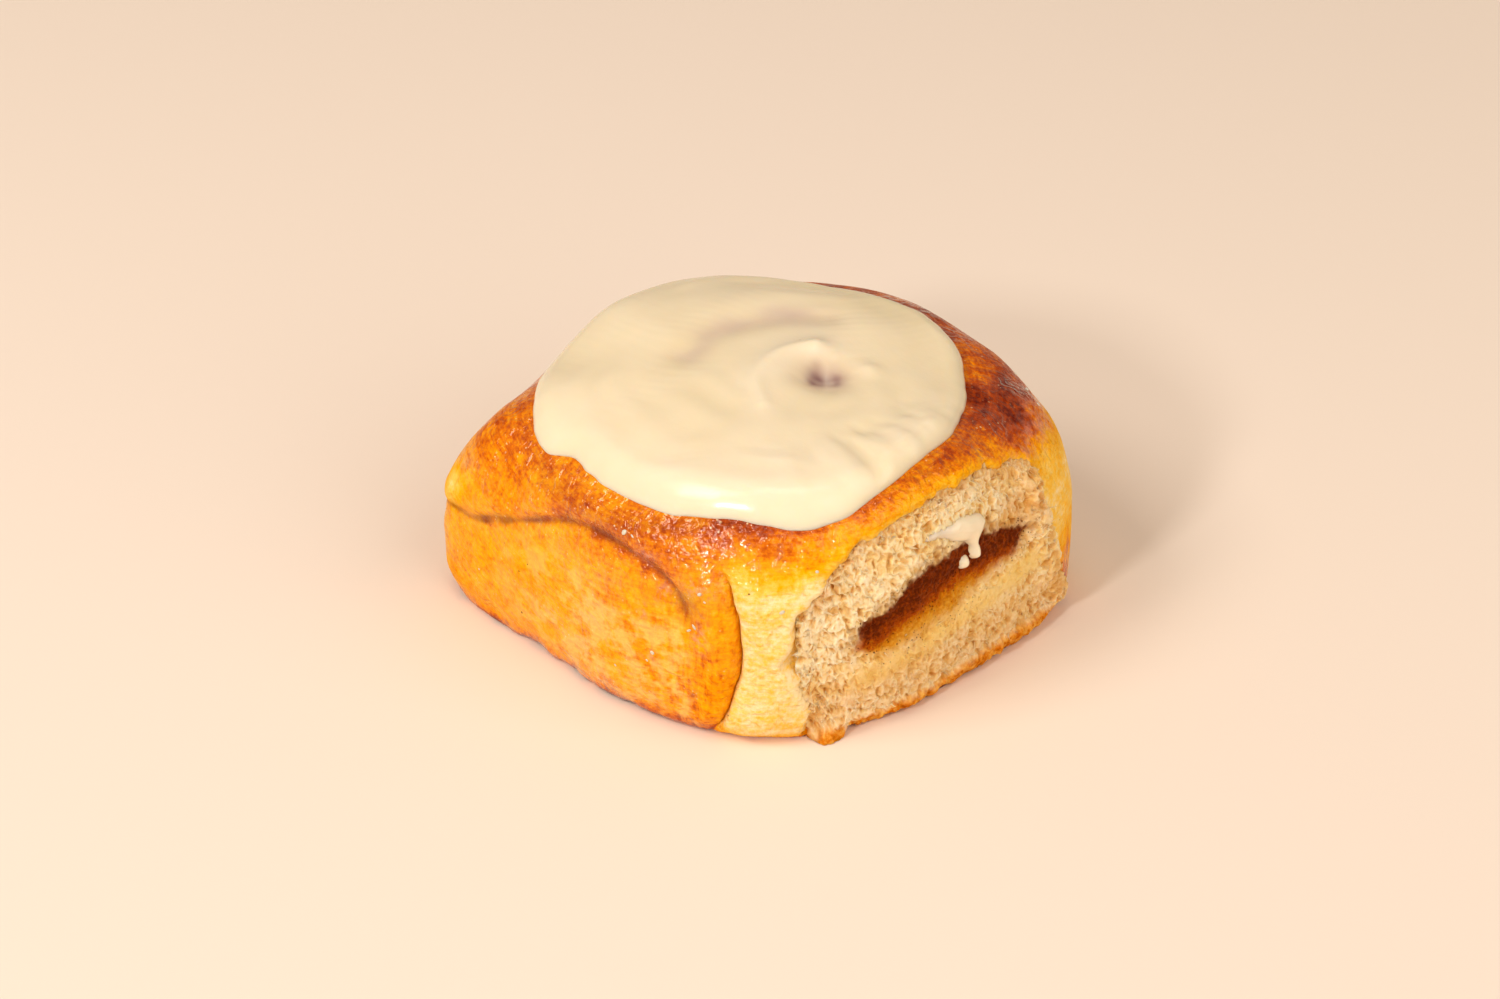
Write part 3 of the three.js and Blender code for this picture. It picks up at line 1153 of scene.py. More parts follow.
@dataclass
class Features:
    """Where the crust's features are, at each point of its grid.

    Attributes:
        base: The plain form's grid.
        azimuth: The direction of each point from the crown's middle.
        under: Whether a point is on the underside.
        front: 1 on the -Y side, 0 elsewhere.
        strip: The distance to the strip's end.
        bank: The same distance, negative on the face below the strip's end.
        along: How far along the strip's end the nearest point is, from 0 to 1.
        strength: How strongly the strip's end shows.
        tail: 1 on the face below the strip's end.
        fold: The distance to the corner fold, negative to its left.
        edge: The distance to the torn edge, negative inside.
        scab: 1 on the torn bit at the left corner.
        spiral: 1 on the spiral that shows on the underside.
    """

    base: Array
    azimuth: Array
    under: Array
    front: Array
    strip: Array
    bank: Array
    along: Array
    strength: Array
    tail: Array
    fold: Array
    edge: Array
    scab: Array
    spiral: Array


@dataclass
class Bun:
    """The baked roll's outer skin: crust, folds, strip end, foot and underside.

    Attributes:
        form: The plain form.
        torn: The torn patch, where the skin is cut back.
        columns: How many columns the grid has.
        strip_end: The end of the dough strip on the -Y side, as points in X and Z.
        fold_azimuth: The fold in the front right corner, in degrees.
        fold_bow: How far the fold bows to the right halfway up, in mm.
        underside_pitch: The spacing of the spiral's turns, which show on the underside.
        relief: The heights and depths of its features.
        browning: How it browned.
        surface: The finished skin's rings over the underside, once it is built.
    """

    form: BunForm
    torn: TornSide
    columns: int = 600
    strip_end: Outline = (
        (-47, 20), (-39.6, 22), (-34, 22.6), (-27, 25.4), (-20, 28.4), (-13, 31.8), (-6, 34.4),
        (2, 35.2), (11, 34.8), (18.5, 33), (22.4, 29.5), (24.8, 24), (25.7, 18), (26.3, 11),
        (26.8, 2),
    )
    fold_azimuth: float = -54.3
    fold_bow: float = 3.4
    underside_pitch: float = 13.0
    relief: CrustRelief = CrustRelief()
    browning: Browning = Browning()
    surface: Array = field(init=False)

    def fold_distance(self, points: Array) -> Array:
        """The distance round the bun to the corner fold, negative to its left."""
        azimuth, radius = self.form.polar(points)
        bow = self.fold_bow * (1.0 - ((points[..., 2] - 21.0) / 17.0) ** 2)
        turned = azimuth - math.radians(self.fold_azimuth)
        return turned * np.minimum(radius, 54.0) - np.maximum(bow, -2.0)

    def find_features(self, base: Array, normal: Array) -> Features:
        """Works out where the crust's features are.

        Args:
            base: The plain form's grid.
            normal: Its normals.

        Returns:
            The features at each point of the grid.
        """
        x, y, z = np.moveaxis(base, -1, 0)
        front = smoothstep(-0.45, -0.72, y / self.form.half_depth) * smoothstep(0.5, 3.5, z)
        strip, side, along = distance_to_curve(x, z, smooth_curve(self.strip_end, False))
        strip = strip + 0.5 * noise(base, 5.0, 5)
        fade_in = 0.65 + 0.35 * smoothstep(0.1, 0.5, along)
        fade_out = 1.0 - 0.8 * smoothstep(0.62, 0.8, along)
        right = x > 0.4 * self.form.half_width
        scab = (base - np.array(self.relief.scab_middle)) / np.array(self.relief.scab_size)
        return Features(
            base=base,
            azimuth=self.form.polar(base)[0],
            under=normal[..., 2] < -0.9,
            front=front,
            strip=strip,
            bank=strip * side,
            along=along,
            strength=front * fade_in * fade_out,
            tail=front * smoothstep(0.5, -2.5, strip * side),
            fold=self.fold_distance(base) + 0.35 * noise(base, 4.0, 6),
            edge=np.where(right, self.torn.edge_distance(base), 99.0),
            scab=bell(np.linalg.norm(scab, axis=-1), 1.0),
            spiral=self.underside_spiral(x, y),
        )

    def skin(self, normal: Array, at: Features) -> Array:
        """The finished skin's grid.

        Soft lumps cover it all, the strip end is a groove with a raised lip, the corner fold is a
        deep groove whose left bank hangs over it, and the torn patch is cut back by a ragged step.

        Args:
            normal: The plain form's normals.
            at: Where the features are.

        Returns:
            The displaced grid.
        """
        base, cuts = at.base, self.relief
        x, y, z = np.moveaxis(base, -1, 0)
        upper = smoothstep(0.0, 3.0, z)
        from_icing = np.hypot(x - self.form.icing_middle[0], y - self.form.icing_middle[1])
        free = smoothstep(43.0, 50.0, from_icing) * upper
        lumps = 0.55 * noise(base, 21.0, 1) + 0.3 * noise(base, 9.0, 2)
        lumps = lumps + 0.09 * layered_noise(base, 3.0, 3, 3)
        shift = (0.25 + 0.75 * free) * lumps * upper

        shift -= at.strength * bumps(at.strip, *cuts.strip_groove)
        shift += at.strength * bumps(at.bank, cuts.strip_lip)
        shift -= at.tail * cuts.strip_sink * (1.0 - smoothstep(0.75, 1.0, at.along))
        shift += cuts.flap_swell * (at.front * bell(x - 29.0, 4.5) * smoothstep(38.0, 29.0, z))

        within = smoothstep(0.0, 4.0, z) * smoothstep(40.0, 33.0, z)
        shift -= within * bumps(at.fold, *cuts.fold_groove)
        shift += within * bumps(at.fold, *cuts.fold_banks)
        along_ring = [-np.sin(at.azimuth), np.cos(at.azimuth), 0.0 * at.azimuth]
        lean = cuts.overhang * within * bell(at.fold + 0.9, 1.1)
        overhang = lean[..., None] * np.stack(along_ring, axis=-1)

        cut = smoothstep(0.5, -0.9, at.edge)
        shift -= (self.torn.depth + cuts.foot_cut * smoothstep(6.0, 3.0, z)) * cut
        shift += bumps(at.edge, cuts.torn_lip) * smoothstep(1.0, 4.0, z)
        shift += at.scab * (0.5 + 0.7 * layered_noise(base, 2.0, 3, 8))
        skirt = bell(z - 1.1, 0.9) * (1.0 - cut)
        shift += skirt * (0.5 + 0.8 * layered_noise(base * np.array([1, 1, 0]), 6.0, 3, 9))

        rough_base = 0.25 * (1.0 + layered_noise(base, 5.0, 4, 11)) + cuts.spiral_depth * at.spiral
        centre_free = smoothstep(0.0, 6.0, np.hypot(x, y)) * smoothstep(0.98, 0.9, self.share(base))
        shift = np.where(at.under, -rough_base * centre_free, shift)
        shaped = base + normal * shift[..., None] + overhang
        shaped[..., 2] = np.maximum(shaped[..., 2], 0.0)
        return self.widen_underside(base, shaped)

    def widen_underside(self, base: Array, shaped: Array) -> Array:
        """Stretches the underside's rings so that they meet the displaced foot.

        Args:
            base: The plain form's grid.
            shaped: The displaced grid.

        Returns:
            The displaced grid with its underside stretched to fit.
        """
        middle = np.array([self.form.crown_x, 0.0])
        last = Place.UNDERSIDE.value
        reach = np.linalg.norm(shaped[last, :, :2] - middle, axis=-1)
        grown = reach / np.linalg.norm(base[last, :, :2] - middle, axis=-1)
        shaped[:last, :, :2] = middle + (shaped[:last, :, :2] - middle) * grown[None, :, None]
        return shaped

    def share(self, points: Array) -> Array:
        """How far out places are, as a share of the way to the foot's edge."""
        azimuth, radius = self.form.polar(points)
        return radius / (self.form.outline(azimuth) - around(self.form.foot_inset, azimuth))

    def underside_spiral(self, x: Array, y: Array) -> Array:
        """A soft line along r = pitch * (turns + azimuth / 360), where the strip's layers meet."""
        r = np.hypot(x - self.form.crown_x, y)
        turns = r / self.underside_pitch - np.arctan2(y, x - self.form.crown_x) / (2.0 * np.pi)
        offset = (turns - np.round(turns)) * self.underside_pitch
        return bell(offset, 1.3) * smoothstep(3.0, 9.0, r) * smoothstep(46.0, 42.0, r)

    def ring(self, at: Features) -> Array:
        """1 on the uneven ring of dried syrup next to the icing, and 0 elsewhere."""
        x, y = at.base[..., 0], at.base[..., 1]
        patchy = 0.7 + 0.6 * smoothstep(-0.4, 0.4, noise(at.base, 5.0, 28))
        return bell(np.hypot(x - self.form.icing_middle[0], y) - 45.5, 3.6) * patchy

    def left_of_fold(self, at: Features) -> Array:
        """1 on the dough left of the corner fold, on the -Y side, and 0 elsewhere."""
        left = smoothstep(0.4, -0.3, at.fold)
        left = left * smoothstep(math.radians(-10), math.radians(-50), at.azimuth)
        return left * smoothstep(math.radians(-100), math.radians(-80), at.azimuth)

    def baking(self, at: Features) -> Array:
        """How baked the crust is, from 0, pale, to 1, dark brown.

        It rises from foot to crown at its own pace in each direction. The back right corner, the
        ring round the icing, the strip's end and the foot are darker, and torn edges are paler.

        Args:
            at: Where the features are.

        Returns:
            The degree of baking at each point.
        """
        base, azimuth, tone = at.base, at.azimuth, self.browning
        y, z = base[..., 1], base[..., 2]
        low = mix(around(tone.low, azimuth), tone.flap_bake, self.left_of_fold(at))
        start, stop = around(tone.start, azimuth), around(tone.stop, azimuth)
        height = z + 2.0 * noise(base, 8.0, 21)
        risen = smoothstep(0.0, 1.0, (height - start) / (stop - start))
        bake = mix(low, around(tone.high, azimuth), risen)
        bake += 0.07 * layered_noise(base, 9.0, 3, 31) * (0.4 + smoothstep(10.0, 40.0, z))
        dark_corner = spot(base[..., 0], y, (36.0, 30.0), (9.0, 14.0)) * smoothstep(34.0, 42.0, z)
        bake += 0.17 * dark_corner * (0.6 + 0.6 * layered_noise(base, 4.0, 3, 23))
        behind = smoothstep(0.2, 0.9, azimuth) * smoothstep(38.0, 43.0, z)
        bake += behind * 0.22 * layered_noise(base, 6.0, 4, 33)
        bake += self.ring(at) * around(tone.ring_bake, azimuth)
        # Painted shade: darker along the groove at the strip's end.
        bake += 0.06 * at.strength * bell(at.strip, 1.2)
        bake += 0.42 * bell(z, 1.8) * (1.0 + 0.7 * noise(base, 4.0, 24))
        bake -= 0.5 * at.scab
        bake -= 0.10 * bell(at.edge, 1.6) * smoothstep(2.0, 8.0, z)
        patch = spot(y, z, (35.0, 11.0), (6.5, 8.0)) * (base[..., 0] > 0)
        bake += 0.58 * patch * (1.0 + 0.5 * noise(base, 4.0, 25))
        cut_low, cut_high = tone.cut_bake
        cut_edge = mix(cut_low, cut_high, smoothstep(3.5, 7.0, z))
        return mix(bake, cut_edge, smoothstep(0.5, -0.9, at.edge))

    def marks(self, at: Features) -> dict[str, Array]:
        """What the crust material needs to know at each point.

        Args:
            at: Where the features are.

        Returns:
            bake, from pale to dark; glaze, from matt to glossy; syrup_and_shade_mask, the dark syrup
            with painted shade in the creases and under the icing's edge; streak, the cream streaks;
            painted_sheen, the painted sheen; flap, the dough pulled down beside the corner fold; and
            climb, the way up the side in mm, which runs on over the crown.
        """
        base, azimuth, tone = at.base, at.azimuth, self.browning
        x, y, z = np.moveaxis(base, -1, 0)
        front_half = y < 0
        bake = self.baking(at)
        ring = self.ring(at)

        glaze = 0.85 * smoothstep(0.25, 0.55, bake)
        glaze = glaze * (0.5 + 0.5 * smoothstep(-0.3, 0.5, noise(base, 6.0, 26)))
        wet = bell(azimuth + 1.15, 0.42) * smoothstep(29.0, 35.0, z)
        glaze += 0.75 * wet * smoothstep(-0.5, 0.1, noise(base, 5.0, 29))
        glaze = np.clip(glaze + ring * around(tone.ring_glaze, azimuth), 0.0, 1.0)

        # Painted sheen: pink patches where the glossy syrup on the back right shoulder and on the -Y
        # side would catch the light.
        painted_sheen = 0.7 * (bell(azimuth - 0.8, 0.5) * bell(z - 41.0, 3.0))
        for blot_x, blot_z, wide, tall in tone.painted_sheen_blots:
            painted_sheen += spot(x, z, (blot_x, blot_z), (wide, tall)) * front_half

        # Syrup and painted shade: dark along the strip's groove and the corner fold, and a thin
        # painted contact shade under the icing's edge.
        syrup_and_shade_mask = 1.3 * at.strength * bell(at.strip, 0.65)
        syrup_and_shade_mask *= (0.7 + 0.5 * noise(base, 3.0, 27)) * (1.0 - smoothstep(0.68, 0.84, at.along))
        syrup_and_shade_mask += 0.2 * bell(at.fold, 0.7) * smoothstep(1.0, 6.0, z) * smoothstep(38.0, 32.0, z)
        brim = bell(np.hypot(x - self.form.icing_middle[0], y) - 45.0, 1.4)
        syrup_and_shade_mask += 0.5 * brim * around(tone.brim, azimuth)
        syrup_and_shade_mask += 0.45 * spot(x, z, (23.5, 30.0), (3.4, 3.2)) * front_half

        streak = at.tail * smoothstep(-38.0, -4.0, x) * smoothstep(31.0, 20.0, z) * front_half
        streak += 0.7 * spot(x, z, (-40.0, 30.0), (5.0, 4.0)) * front_half
        flap = bell(x - 24.5, 6.5) * smoothstep(34.0, 28.0, z) * front_half
        climb = z + 48.0 - np.hypot(x - self.form.crown_x, y)
        return {
            "bake": np.where(at.under, 0.86 + 0.1 * at.spiral, bake),
            "glaze": glaze,
            "syrup_and_shade_mask": np.where(at.under, 0.8 * at.spiral, np.clip(syrup_and_shade_mask, 0.0, 1.0)),
            "streak": np.clip(streak, 0.0, 1.0),
            "painted_sheen": np.clip(painted_sheen, 0.0, 1.0),
            "flap": flap * self.left_of_fold(at),
            "climb": np.where(at.under, 0.0, climb),
        }

    def build(self) -> bpy.types.Object:
        """Builds the bun's skin and dresses it."""
        base = self.form.rings(self.even_columns())
        normal = grid_normals(base, True)
        at = self.find_features(base, normal)
        shaped = self.skin(normal, at)
        low = np.array([self.form.crown_x, 0.0, 0.3])
        high = np.array([self.form.crown_x, 0.0, shaped[-1, :, 2].mean()])
        piece = round_skin("bun_skin", low, shaped, high, self.marks(at))
        piece.data.materials.append(BakedCrust().build())
        self.surface = shaped[Place.UNDERSIDE.value :]
        return piece

    def nearest(self, azimuth: float, height: float) -> tuple[Array, Array]:
        """The place on the finished skin at a direction and a height.

        Args:
            azimuth: The direction from the crown's middle, in degrees.
            height: The height over the table, below the icing.

        Returns:
            The place and the outward normal there.
        """
        turn = degrees_apart(np.degrees(self.form.polar(self.surface)[0]), azimuth)
        far = np.abs(turn) + np.abs(self.surface[..., 2] - height)
        here = np.unravel_index(np.argmin(far), far.shape)
        return self.surface[here], grid_normals(self.surface, True)[here]

    def even_columns(self) -> Array:
        """Directions that step evenly along the outline, not evenly in angle."""
        fine = np.linspace(-np.pi, np.pi, 4001)
        radius = self.form.outline(fine)
        line = np.stack([radius * np.cos(fine), radius * np.sin(fine)], axis=-1)
        steps = np.linalg.norm(np.diff(line, axis=0), axis=-1)
        length = np.concatenate([[0.0], np.cumsum(steps)])
        return np.interp(np.linspace(0.0, length[-1], self.columns, endpoint=False), length, fine)


def side_grid(form: BunForm, y: Array, z: Array) -> Array:
    """The plain form's +X side over a grid of Y and Z.

    Args:
        form: The bun's form.
        y: The grid's Y, rising.
        z: The grid's heights, rising.

    Returns:
        The places, as rows, columns and X, Y, Z.
    """
    azimuth = np.arctan2(y, form.half_width - form.crown_x - 2.0)
    base = form.side_at(azimuth[None, :], z[:, None])
    base[..., 2] -= form.sag_at(base[..., 0], base[..., 1])
    return base


@dataclass
class CrumbFace:
    """The torn face: shaggy crumb, the pocket of cinnamon paste, the soaked layer and the torn base
    crust.

    Attributes:
        form: The plain form that the face lies in.
        torn: The outlines in it.
        spacing: The distance between points of the grid.
        reach: The lowest and highest Y and Z that the face covers, past its outline on all sides.
        shreds: How many loose strands stand out of the crumb.
        bubbles: The torn bubbles of each size: their spacing, how many places have one, their
            depth in mm and their pattern.
        paste_middle: The line where the paste's upper, crisp edge begins, in Y and Z.
        paste_top: The line where the paste is darkest, in Y and Z.
        soaked_middle: The middle line of the yellow dough, in Y and Z.
        flap_height: How far the loose flap on the right stands out.
        lip_height: How far the left edge of the crumb stands out.
        tab_height: How far the tab of torn base at the lower left stands out.
        edge_sink: How far the face sinks under the crust past its edge.
    """

    form: BunForm
    torn: TornSide
    spacing: float = 0.205
    reach: tuple[float, float, float, float] = (-39.0, 39.0, 0.35, 47.6)
    shreds: int = 700
    bubbles: tuple[tuple[float, float, float, int], ...] = (
        (2.2, 0.4, 0.8, 60), (1.2, 0.75, 0.55, 65), (0.7, 0.95, 0.36, 70),
    )
    paste_middle: Outline = ((-24, 20), (-10, 27), (4, 30), (20, 26))
    paste_top: Outline = ((-24, 23), (-10, 27), (4, 29), (20, 27))
    soaked_middle: Outline = ((-24, 12.5), (-10, 14.5), (5, 17.0), (22, 19.0))
    flap_height: float = 2.3
    lip_height: float = 0.7
    tab_height: float = 3.8
    edge_sink: float = 3.6

    def base_grid(self) -> Array:
        """The plain form over an even grid of Y and Z, with rows that tuck in under the bun."""
        low_y, high_y, low_z, high_z = self.reach
        y = np.linspace(low_y, high_y, int((high_y - low_y) / self.spacing))
        z = np.linspace(low_z, high_z, int((high_z - low_z) / self.spacing))
        base = side_grid(self.form, y, z)
        inward = np.linspace(9.0, 0.0, 24, endpoint=False)[:, None, None]
        tucked = base[:1] - inward * np.array([1.0, 0.0, 0.0])
        return np.concatenate([tucked, base])

    def crumb(self, points: Array) -> Array:
        """The crumb's relief in mm.

        Bubbles that tore open leave bowls round scattered points 2.2, 1.2 and 0.7 mm apart, with
        walls left between them. Flakes are the steps of a rounded-down slow noise, and strands run
        up the face near its left edge. Everything is warped by more noise.

        Args:
            points: Places on the face.

        Returns:
            The relief, from about -2 in a bubble to 1 on a wall.
        """
        warp = np.stack([layered_noise(points, 3.2, 2, 50 + k) for k in range(3)], axis=-1)
        lean = points + 0.7 * warp
        lean[..., 1] += 0.3 * lean[..., 2]
        flat = lean * np.array([1.0, 1.0, 0.78])
        total = 0.10 * layered_noise(points, 0.6, 2, 85)
        for size, chance, depth, salt in self.bubbles:
            distance, tag = cell_distance(flat, size, salt)
            radius = 0.3 + 0.36 * tag
            total -= depth * np.maximum(0.0, 1.0 - (distance / radius) ** 2) * (tag > 1.0 - chance)
        slow = 1.8 * layered_noise(lean, 6.0, 3, 80)
        total += 0.20 * (np.floor(slow) + smoothstep(0.0, 1.0, slow - np.floor(slow)))
        strands = 1.0 - 2.0 * np.abs(noise(lean * np.array([1.0, 1.0, 0.3]), 1.2, 54))
        return total + strands * (0.07 + 0.22 * smoothstep(-12.0, -24.0, points[..., 1]))

    def surface(self) -> tuple[Array, Array, Array, dict[str, Array]]:
        """The torn face in detail.

        Returns:
            Its grid, its plain form's normals, the distance to its ragged edge and the marks for
            its material.
        """
        base = self.base_grid()
        normal = grid_normals(base, False)
        y, z = base[..., 1], base[..., 2]
        edge = self.torn.edge_distance(base)
        crumb = self.crumb(base)

        wander = 2.4 * layered_noise(base, 4.0, 5, 90)
        in_filling = signed_distance(y, z, smooth_curve(self.torn.filling, True))
        over = smoothstep(-1.0, 2.0, z - line_at(self.paste_middle, y))
        crisp = smoothstep(1.0, -1.2, in_filling + 1.2 * wander)
        filling = mix(smoothstep(2.0, -2.6, in_filling + wander), crisp, over)
        halo = 0.42 * smoothstep(3.6, 0.0, in_filling + 1.5 * wander)
        filling = np.maximum(filling, halo * smoothstep(-0.5, 0.4, noise(base, 0.9, 99)))
        soaked = bell(z - line_at(self.soaked_middle, y), 3.0) * smoothstep(-27, -20, y)
        soaked = np.clip(soaked * smoothstep(28, 23, y) * 1.25, 0.0, 1.0) * (1.0 - filling)
        rind_line = distance_to_curve(y, z, smooth_curve(self.torn.rind, False))
        rind = smoothstep(0.9, -0.9, rind_line[0] * rind_line[1] + 0.7 * wander)

        relief = crumb * (1.0 - 0.6 * soaked) + 0.3 * soaked
        flap = smoothstep(-7.0, -0.8, edge) * smoothstep(17.0, 23.0, y) * smoothstep(42, 36, z)
        relief += self.flap_height * flap
        left_lip = smoothstep(-4.0, -0.6, edge) * smoothstep(-22.0, -27.0, y)
        relief += self.lip_height * (left_lip * smoothstep(4.0, 9.0, z))
        lip = smoothstep(0.2, 1.4, in_filling) * bell(in_filling - 2.2, 2.2) * over
        relief += 0.3 * lip * smoothstep(6.0, -4.0, y)
        grains = 0.55 * layered_noise(base, 0.9, 3, 92) + 0.35 * noise(base, 5.0, 93)
        relief = mix(relief, -0.2 - 0.15 * over * smoothstep(6.0, -4.0, y) + grains, filling)
        relief = mix(relief, 0.9 + 1.0 * layered_noise(base, 1.8, 4, 94), rind)
        tab = np.exp(-(((y + 26.5) / 2.8) ** 4) - ((z / 3.6) ** 2))
        relief += (self.tab_height + 1.2 * noise(base, 2.0, 97)) * tab
        rind = np.maximum(rind, smoothstep(0.25, 0.6, tab))
        shift = -1.0 + relief - self.edge_sink * smoothstep(0.0, 1.8, edge)

        shaped = base + normal * shift[..., None]
        sideways = np.stack([0.0 * y, noise(base, 1.1, 95), noise(base, 1.1, 96)], axis=-1)
        shaped += sideways * (0.5 * (1.0 - filling) * (1.0 - rind))[..., None]
        shaped[..., 2] = np.maximum(shaped[..., 2], 0.15)
        # The rise mark follows the relief, which paints shade into the crumb's bubbles and lightens
        # its walls.
        marks = {
            "rise": np.clip(0.80 + 0.42 * crumb, 0.0, 1.0),
            "filling": filling,
            "melt": smoothstep(0.0, 9.0, line_at(self.paste_top, y) - z + wander),
            "soaked": soaked,
            "rind": rind,
            "golden": self.golden(y, z, edge),
            "sprinkle": np.clip(smoothstep(4.5, -1.0, in_filling + wander) + 0.05, 0.0, 1.0),
        }
        return shaped, normal, edge, marks

    def golden(self, y: Array, z: Array, edge: Array) -> Array:
        """How golden the crumb is: near the crust, over the base and in two patches on the right.

        Args:
            y: The face's Y.
            z: Its height.
            edge: The distance to the torn edge.

        Returns:
            The mark, from 0 to 1.
        """
        golden = 0.9 * bell(edge, 2.2) * smoothstep(26.0, 34.0, z) + 0.6 * bell(z - 6.5, 2.5)
        golden += 0.9 * bell(y - 19.0, 6.0) * bell(z - 33.0, 5.5) + 0.5 * bell(z - 11.0, 3.0)
        golden += bell(y - 32.0, 3.0) * bell(z - 14.0, 6.0)
        return np.clip(golden, 0.0, 1.0)

    def strands(
        self, shaped: Array, normal: Array, edge: Array, marks: dict[str, Array]
    ) -> bpy.types.Object:
        """Loose strands of crumb: bent tapering tubes at random places, more of them near the edge.

        Args:
            shaped: The face's grid.
            normal: Its plain form's normals.
            edge: The distance to the torn edge.
            marks: The face's marks.

        Returns:
            The piece that holds them all.
        """
        count = self.shreds
        rng = np.random.default_rng(11)
        bare = (edge < -0.2) * (1.0 - marks["filling"]) * (1.0 - marks["rind"])
        weight = bare * (shaped[..., 2] > 3.0)
        weight = weight * (0.25 + bell(edge, 3.5)) * (0.2 + marks["rise"])
        chosen = rng.choice(weight.size, count, p=(weight / weight.sum()).ravel())
        root = shaped.reshape(-1, 3)[chosen]
        out = normal.reshape(-1, 3)[chosen]
        up = np.array([0.0, 0.0, 1.0]) - out * out[:, 2:]
        up /= np.linalg.norm(up, axis=1, keepdims=True)
        across = np.cross(up, out)
        turn = rng.uniform(-np.pi, np.pi, count)[:, None]
        lean = rng.uniform(0.1, 0.75, count)[:, None]
        flat = up * np.cos(turn) + across * np.sin(turn)
        length = rng.gamma(3.0, 0.32, count)[:, None] + 0.3
        low_right = 0.6 * smoothstep(20.0, 26.0, root[:, 1:2])
        length *= 1.0 - low_right * smoothstep(16.0, 10.0, root[:, 2:])
        width = rng.uniform(0.07, 0.2, count)[:, None]
        t = np.linspace(0.0, 1.0, 5)[None, :, None]
        direction = flat * (1.0 - lean) + out * lean
        bend = (across * rng.normal(0.0, 0.5, count)[:, None] - up * 0.3)[:, None] * t**2
        way = direction[:, None] * t + 0.5 * bend
        line = root[:, None] - 0.15 * out[:, None] + length[:, None] * way
        side = np.cross(direction, out)
        side /= np.linalg.norm(side, axis=1, keepdims=True)
        lift = np.cross(side, direction)
        angle = (2.0 * np.pi * np.arange(5) / 5)[None, None, :, None]
        taper = (width[:, None] * (1.0 - 0.75 * t))[:, :, None]
        ring = 1.7 * side[:, None, None] * np.cos(angle) + 0.8 * lift[:, None, None] * np.sin(angle)
        dress = {"rise": 0.75 * np.ones(count), "melt": np.ones(count)}
        dress |= {mark: marks[mark].ravel()[chosen] for mark in ("soaked", "golden")}
        dress |= {mark: np.zeros(count) for mark in ("filling", "rind", "sprinkle")}
        return many_shapes("crumb_strands", line[:, :, None] + ring * taper, dress)

    def build(self) -> list[bpy.types.Object]:
        """Builds the torn face and its loose strands, and dresses them."""
        shaped, normal, edge, marks = self.surface()
        pieces = [
            slab_skin("torn_crumb_face", shaped, np.array([25.0, 0.0, 20.0]), marks),
            self.strands(shaped, normal, edge, marks),
        ]
        material = TornCrumb().build()
        for piece in pieces:
            piece.data.materials.append(material)
        return pieces


# ----------------------------------------------------------------------------
# The icing
# ----------------------------------------------------------------------------


@dataclass(frozen=True)
class Lobe:
    """One place where the icing has run further, or less far.

    Attributes:
        azimuth: Its direction in degrees.
        spread: Its width in degrees.
        reach: How much further it runs, in mm.
    """

    azimuth: float
    spread: float
    reach: float


